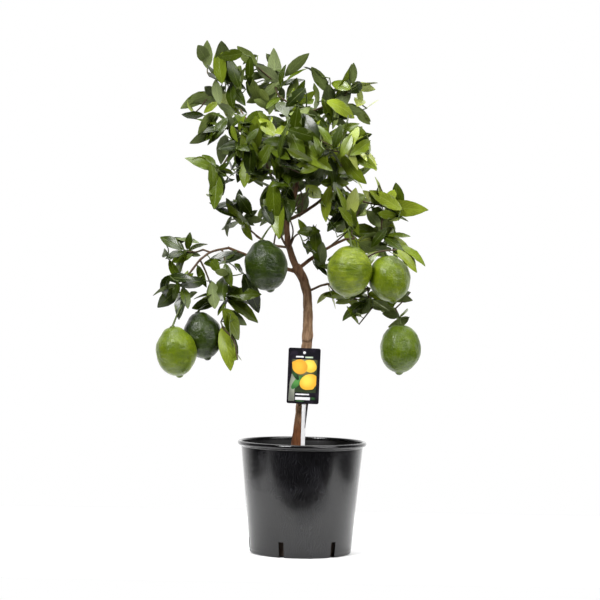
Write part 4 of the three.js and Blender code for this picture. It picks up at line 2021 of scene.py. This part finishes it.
@dataclass
class Label:
    """The picture label: a card with a punched hole and a tail, and printed shapes on it."""

    corner: float = 3 * MM
    hole: float = 2.4 * MM
    hole_height: float = 37.5 * MM
    width: float = 52 * MM
    height: float = 90 * MM
    thickness: float = 0.8 * MM
    headroom: float = 0.6 * MM
    lean: float = 1.3
    ink: float = 0.08 * MM
    tail: tuple[tuple[float, float], ...] = ((6.3, 0), (5.3, 39), (5.9, 39), (9.4, 0))

    def build(self) -> None:
        """Builds the card and its print."""
        low, high = box("label")
        middle = high.z - self.height / 2 - self.headroom
        place = Matrix.Translation(((low.x + high.x) / 2, (low.y + high.y) / 2, middle))
        place = place @ turn_about(self.lean, "Y") @ turn_about(90, "X")
        shape = Shape()
        self._card(shape, place)
        self._print(shape, place)
        inks = [CARD.material(), *(ink.value.material() for ink in Ink)]
        shape.piece("picture_label", inks, ["label"], "label_card", smooth=False)

    def _rim(self) -> list[tuple[float, float]]:
        """Draws the card's outline, tail and all.

        Returns:
            Its corners, anticlockwise from its lower left.
        """
        half, tall, corner = self.width / 2, self.height / 2, self.corner
        rim = [(-half + corner, -tall), *((x * MM, -tall - drop * MM) for x, drop in self.tail)]
        for across, up, start in ((1, -1, -90), (1, 1, 0), (-1, 1, 90), (-1, -1, 180)):
            middle = (across * (half - corner), up * (tall - corner))
            rim += arc(middle, (corner, corner), range(start, start + 91, 15))
        return rim[:-1]

    def _card(self, shape: Shape, place: Matrix) -> None:
        """Adds the card with its punched hole.

        Args:
            shape: the label.
            place: where the card's middle goes.
        """
        rim, hole = self._rim(), oval((0, self.hole_height), (self.hole, self.hole), 24)
        flat = [Vector((x, y, 0)) for x, y in (*rim, *hole)]
        edge, count = len(rim), len(flat)
        faces: list[tuple[int, ...]] = []
        for one, two, three in tessellate_polygon([flat[:edge], flat[edge:]]):
            if (flat[two] - flat[one]).cross(flat[three] - flat[one]).z < 0:
                two, three = three, two
            faces += [(one, two, three), (three + count, two + count, one + count)]
        for first, size in ((0, edge), (edge, count - edge)):
            for index in range(size):
                here, there = first + index, first + (index + 1) % size
                side = (here, here + count, there + count, there)
                faces.append(side if first == 0 else side[::-1])
        lift = UP * self.thickness / 2
        shape.add([place @ (corner + side) for side in (lift, -lift) for corner in flat], faces)

    def _print(self, shape: Shape, place: Matrix) -> None:
        """Adds the printed picture, plain bars, and a white disc in the punched hole.

        Args:
            shape: the label.
            place: where the card's middle goes.
        """
        disc = oval((0, self.hole_height / MM), (2.3, 2.3), 24)
        self._inlay(shape, place, disc, Ink.WHITE, 0.2 * MM)
        for depth, (ink, outline) in enumerate([*picture(), *bars()], 1):
            self._inlay(shape, place, outline, ink, self.thickness / 2 + self.ink * depth * 0.5)

    @staticmethod
    def _inlay(
        shape: Shape, place: Matrix, outline: Sequence[tuple[float, float]], ink: Ink, top: float
    ) -> None:
        """Adds one printed shape as a thin slab.

        Args:
            shape: the label.
            place: where the card's middle goes.
            outline: the shape's corners in millimetres, anticlockwise.
            ink: its ink.
            top: its height over the card's middle plane.
        """
        wide = [x for x, _ in outline]
        tall = [y for _, y in outline]
        span = (max(wide) - min(wide) or 1, max(tall) - min(tall) or 1)
        count = len(outline)
        corners = [place @ Vector((x * MM, y * MM, level)) for level in (top, 0) for x, y in outline]
        places = [((x - min(wide)) / span[0], (y - min(tall)) / span[1]) for x, y in outline] * 2
        faces = [tuple(range(count))]
        faces += [(i, i + count, (i + 1) % count + count, (i + 1) % count) for i in range(count)]
        faces.append(tuple(reversed(range(count, 2 * count))))
        shape.add(corners, faces, ink.slot(), places)


@dataclass
class Stake:
    """The flat white stake behind the card, ribbed and rounded."""

    width: float = 6.6 * MM
    thickness: float = 1.1 * MM
    lean: float = 0.6
    rib_width: float = 1.6 * MM
    rib_thickness: float = 0.7 * MM
    rounding: float = 0.28 * MM

    def build(self) -> None:
        """Builds the stake from two rounded bars."""
        low, high = box("label_stake")
        tall = high.z - low.z
        place = Matrix.Translation((low + high) / 2) @ turn_about(self.lean, "Y")
        strip = Matrix.Diagonal((self.width, self.thickness, tall * 0.998, 1))
        rib = Matrix.Diagonal((self.rib_width, self.rib_thickness, tall * 0.97, 1))
        mesh = bmesh.new()
        for bar in (strip, Matrix.Translation((0, self.thickness * 0.45, 0)) @ rib):
            bmesh.ops.create_cube(mesh, size=1, matrix=place @ bar)
        bmesh.ops.bevel(mesh, geom=mesh.edges[:], offset=self.rounding, segments=2, affect="EDGES")
        mesh.verts.index_update()
        shape = Shape()
        faces = [[corner.index for corner in face.verts] for face in mesh.faces]
        shape.add([corner.co.copy() for corner in mesh.verts], faces)
        mesh.free()
        shape.piece("white_stake", [STAKE.material()], ["label_stake"], "label_stake")


def oval(
    middle: tuple[float, float],
    halves: tuple[float, float],
    count: int = 40,
    point: float = 0.0,
    turn: float = 0.0,
) -> list[tuple[float, float]]:
    """Draws an oval, with a nipple at one end if asked.

    Args:
        middle: its middle.
        halves: half its breadth and half its height.
        count: how many corners it has.
        point: how far its nipple stands out, as a share.
        turn: its turn, in degrees.

    Returns:
        Its corners, anticlockwise.
    """
    ring = []
    lean = math.radians(turn)
    for index in range(count):
        angle = math.tau * index / count
        nipple = 1 + point * math.exp(-((math.degrees(min(angle, math.tau - angle)) / 13) ** 2))
        across, up = halves[0] * math.cos(angle) * nipple, halves[1] * math.sin(angle)
        x = middle[0] + across * math.cos(lean) - up * math.sin(lean)
        ring.append((x, middle[1] + across * math.sin(lean) + up * math.cos(lean)))
    return ring


def bar(left: float, bottom: float, right: float, top: float) -> list[tuple[float, float]]:
    """Returns the corners of an upright rectangle, anticlockwise."""
    return [(left, bottom), (right, bottom), (right, top), (left, top)]


def picture() -> list[tuple[Ink, list[tuple[float, float]]]]:
    """Draws the label's picture: three lemons and two leaves before a dim ground.

    Returns:
        Each ink and its outline in millimetres, from the back to the front.
    """
    window = [(-19.5, -27), (20.5, -27), (21.5, 26.5), (-19.5, 26.5)]
    (left, low), (right, high) = window[0], window[2]
    mist = [(-23.6, -41), (-13.5, -41), (-14, -22), (-3, -6), (-19.5, 3), (-22, -10)]
    drawn = [
        (Ink.LEAF, oval((-10, -10.5), (5.2, 14), 30, turn=-38)),
        (Ink.LEAF_DARK, oval((-13, 0.5), (3.4, 9), 30, turn=34)),
        (Ink.LEMON_BACK, oval((9.5, 16), (9.8, 11.5), point=0.12, turn=60)),
        (Ink.LEMON_LEFT, oval((-6.5, 14.5), (12.6, 11.8), point=0.16, turn=150)),
        (Ink.LEMON_FRONT, oval((8.6, -9.5), (12, 15.4), point=0.14, turn=-60)),
    ]
    kept = [
        (ink, [(clamp(x, left, right - 0.8), clamp(y, low, high)) for x, y in outline])
        for ink, outline in drawn
    ]
    return [(Ink.GROUND, window), (Ink.MIST, mist), *kept]


def bars() -> list[tuple[Ink, list[tuple[float, float]]]]:
    """Lists the plain bars that stand in for the label's lines of print.

    Returns:
        Each ink and its outline in millimetres.
    """
    return [
        (Ink.WHITE, bar(-13.5, 29.5, -1, 32)),
        (Ink.PALE_GREEN, bar(1.5, 29, 14, 31.4)),
        (Ink.WHITE, bar(-12, -31, 10, -28.8)),
        (Ink.WHITE, bar(-12.4, -39, 11.6, -34.4)),
        (Ink.LEAF_DARK, bar(12.6, -39, 20.5, -34)),
        (Ink.LEAF, bar(-11, -41.3, 2, -40.2)),
    ]


# ---- studio --------------------------------------------------------------------------------------


@dataclass(frozen=True)
class SoftLight:
    """A square soft light that faces the plant."""

    name: str
    place: tuple[float, float, float]
    size: float
    power: float

    def hang(self, target: Vector) -> None:
        """Hangs the light.

        Args:
            target: what it faces.
        """
        data = bpy.data.lights.new(self.name, "AREA")
        data.size = self.size
        data.energy = self.power
        made = bpy.data.objects.new(self.name, data)
        made.location = self.place
        made.rotation_euler = (Vector(self.place) - target).to_track_quat("Z", "Y").to_euler()
        bpy.context.scene.collection.objects.link(made)


LIGHTS = (
    SoftLight("top", (0.0, 0.1, 2.4), size=1.5, power=66),
    SoftLight("key", (-1.3, -1.7, 2.2), size=0.8, power=88),
    SoftLight("fill", (1.7, -1.6, 1.6), size=1.6, power=62),
)


@dataclass
class Studio:
    """The pale floor, the soft lights and the camera."""

    floor_depth: tuple[float, float] = (-0.33, 0.6)
    floor_half: float = 0.62
    room_front: float = 0.02
    room_back: float = 1.5
    room_edge: tuple[float, float] = (0.15, 0.8)
    lit_height: float = 0.4
    distance: float = 3.2
    camera_height: float = 0.411
    camera_side: float = -0.0075
    roll: float = -1.0
    lens: float = 117.7
    sensor: float = 36
    sight: float = 100
    floor_colour: Colour = (0.96, 0.96, 0.96)
    ground_colour: Colour = (1.0, 1.0, 1.0)

    def build(self) -> None:
        """Sets up the whole studio."""
        self._floor()
        self._world()
        for light in LIGHTS:
            light.hang(UP * self.lit_height)
        self._camera()
        bpy.context.scene.view_settings.view_transform = "Standard"

    def _floor(self) -> None:
        """Lays the pale floor."""
        mesh = bpy.data.meshes.new("floor")
        (near, far), half, level = self.floor_depth, self.floor_half, -MM / 2
        corners = [(-half, near, level), (half, near, level), (half, far, level), (-half, far, level)]
        mesh.from_pydata(corners, [], [(0, 1, 2, 3)])
        floor = bpy.data.objects.new("floor", mesh)
        bpy.context.scene.collection.objects.link(floor)
        paint = Paint("floor_pale")
        paint.set(Base_Color=self.floor_colour, Roughness=0.7, Specular_IOR_Level=0.1)
        mesh.materials.append(paint.material)

    def _world(self) -> None:
        """Surrounds the plant with a bright room behind it and a dim one in front, on a white ground."""
        world = bpy.data.worlds.new("studio")
        world.use_nodes = True
        graph = Graph(world.node_tree)
        way = graph.node("SeparateXYZ", inputs={"Vector": graph.place("Generated")})
        bright = graph.ramp(way.outputs[1], *self.room_edge)
        room = graph.mix(bright, (self.room_front,) * 3, (self.room_back,) * 3)
        seen = graph.node("LightPath").outputs["Is Camera Ray"]
        back = world.node_tree.nodes["Background"]
        graph.feed(back.inputs["Color"], graph.mix(seen, room, self.ground_colour))
        bpy.context.scene.world = world

    def _camera(self) -> None:
        """Sets the camera level with the middle of the plant, rolled by a degree."""
        data = bpy.data.cameras.new("camera")
        data.lens = self.lens
        data.sensor_width = self.sensor
        data.clip_end = self.sight
        made = bpy.data.objects.new("camera", data)
        made.location = (self.camera_side, -self.distance, self.camera_height)
        made.rotation_euler = (math.radians(90), math.radians(self.roll), 0)
        bpy.context.scene.collection.objects.link(made)
        bpy.context.scene.camera = made


def plain(corners: Sequence[Sequence[float]]) -> list[list[float]]:
    """Returns a box's corners as plain lists of numbers."""
    return [[float(part) for part in corner] for corner in corners]


def main() -> None:
    """Loads the frame and builds the plant, its pot and the studio round it."""
    logging.basicConfig(level=logging.INFO, format="%(message)s")
    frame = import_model()
    wood = Wood()
    wood.trace(frame["nodes"])
    wood.build()
    crown = Crown(wood, FRUIT)
    crown.read(frame["nodes"])
    crown.grow()
    crown.build()
    Pot().build()
    Compost().build()
    Label().build()
    Stake().build()
    Studio().build()


if __name__ == "__main__":
    main()
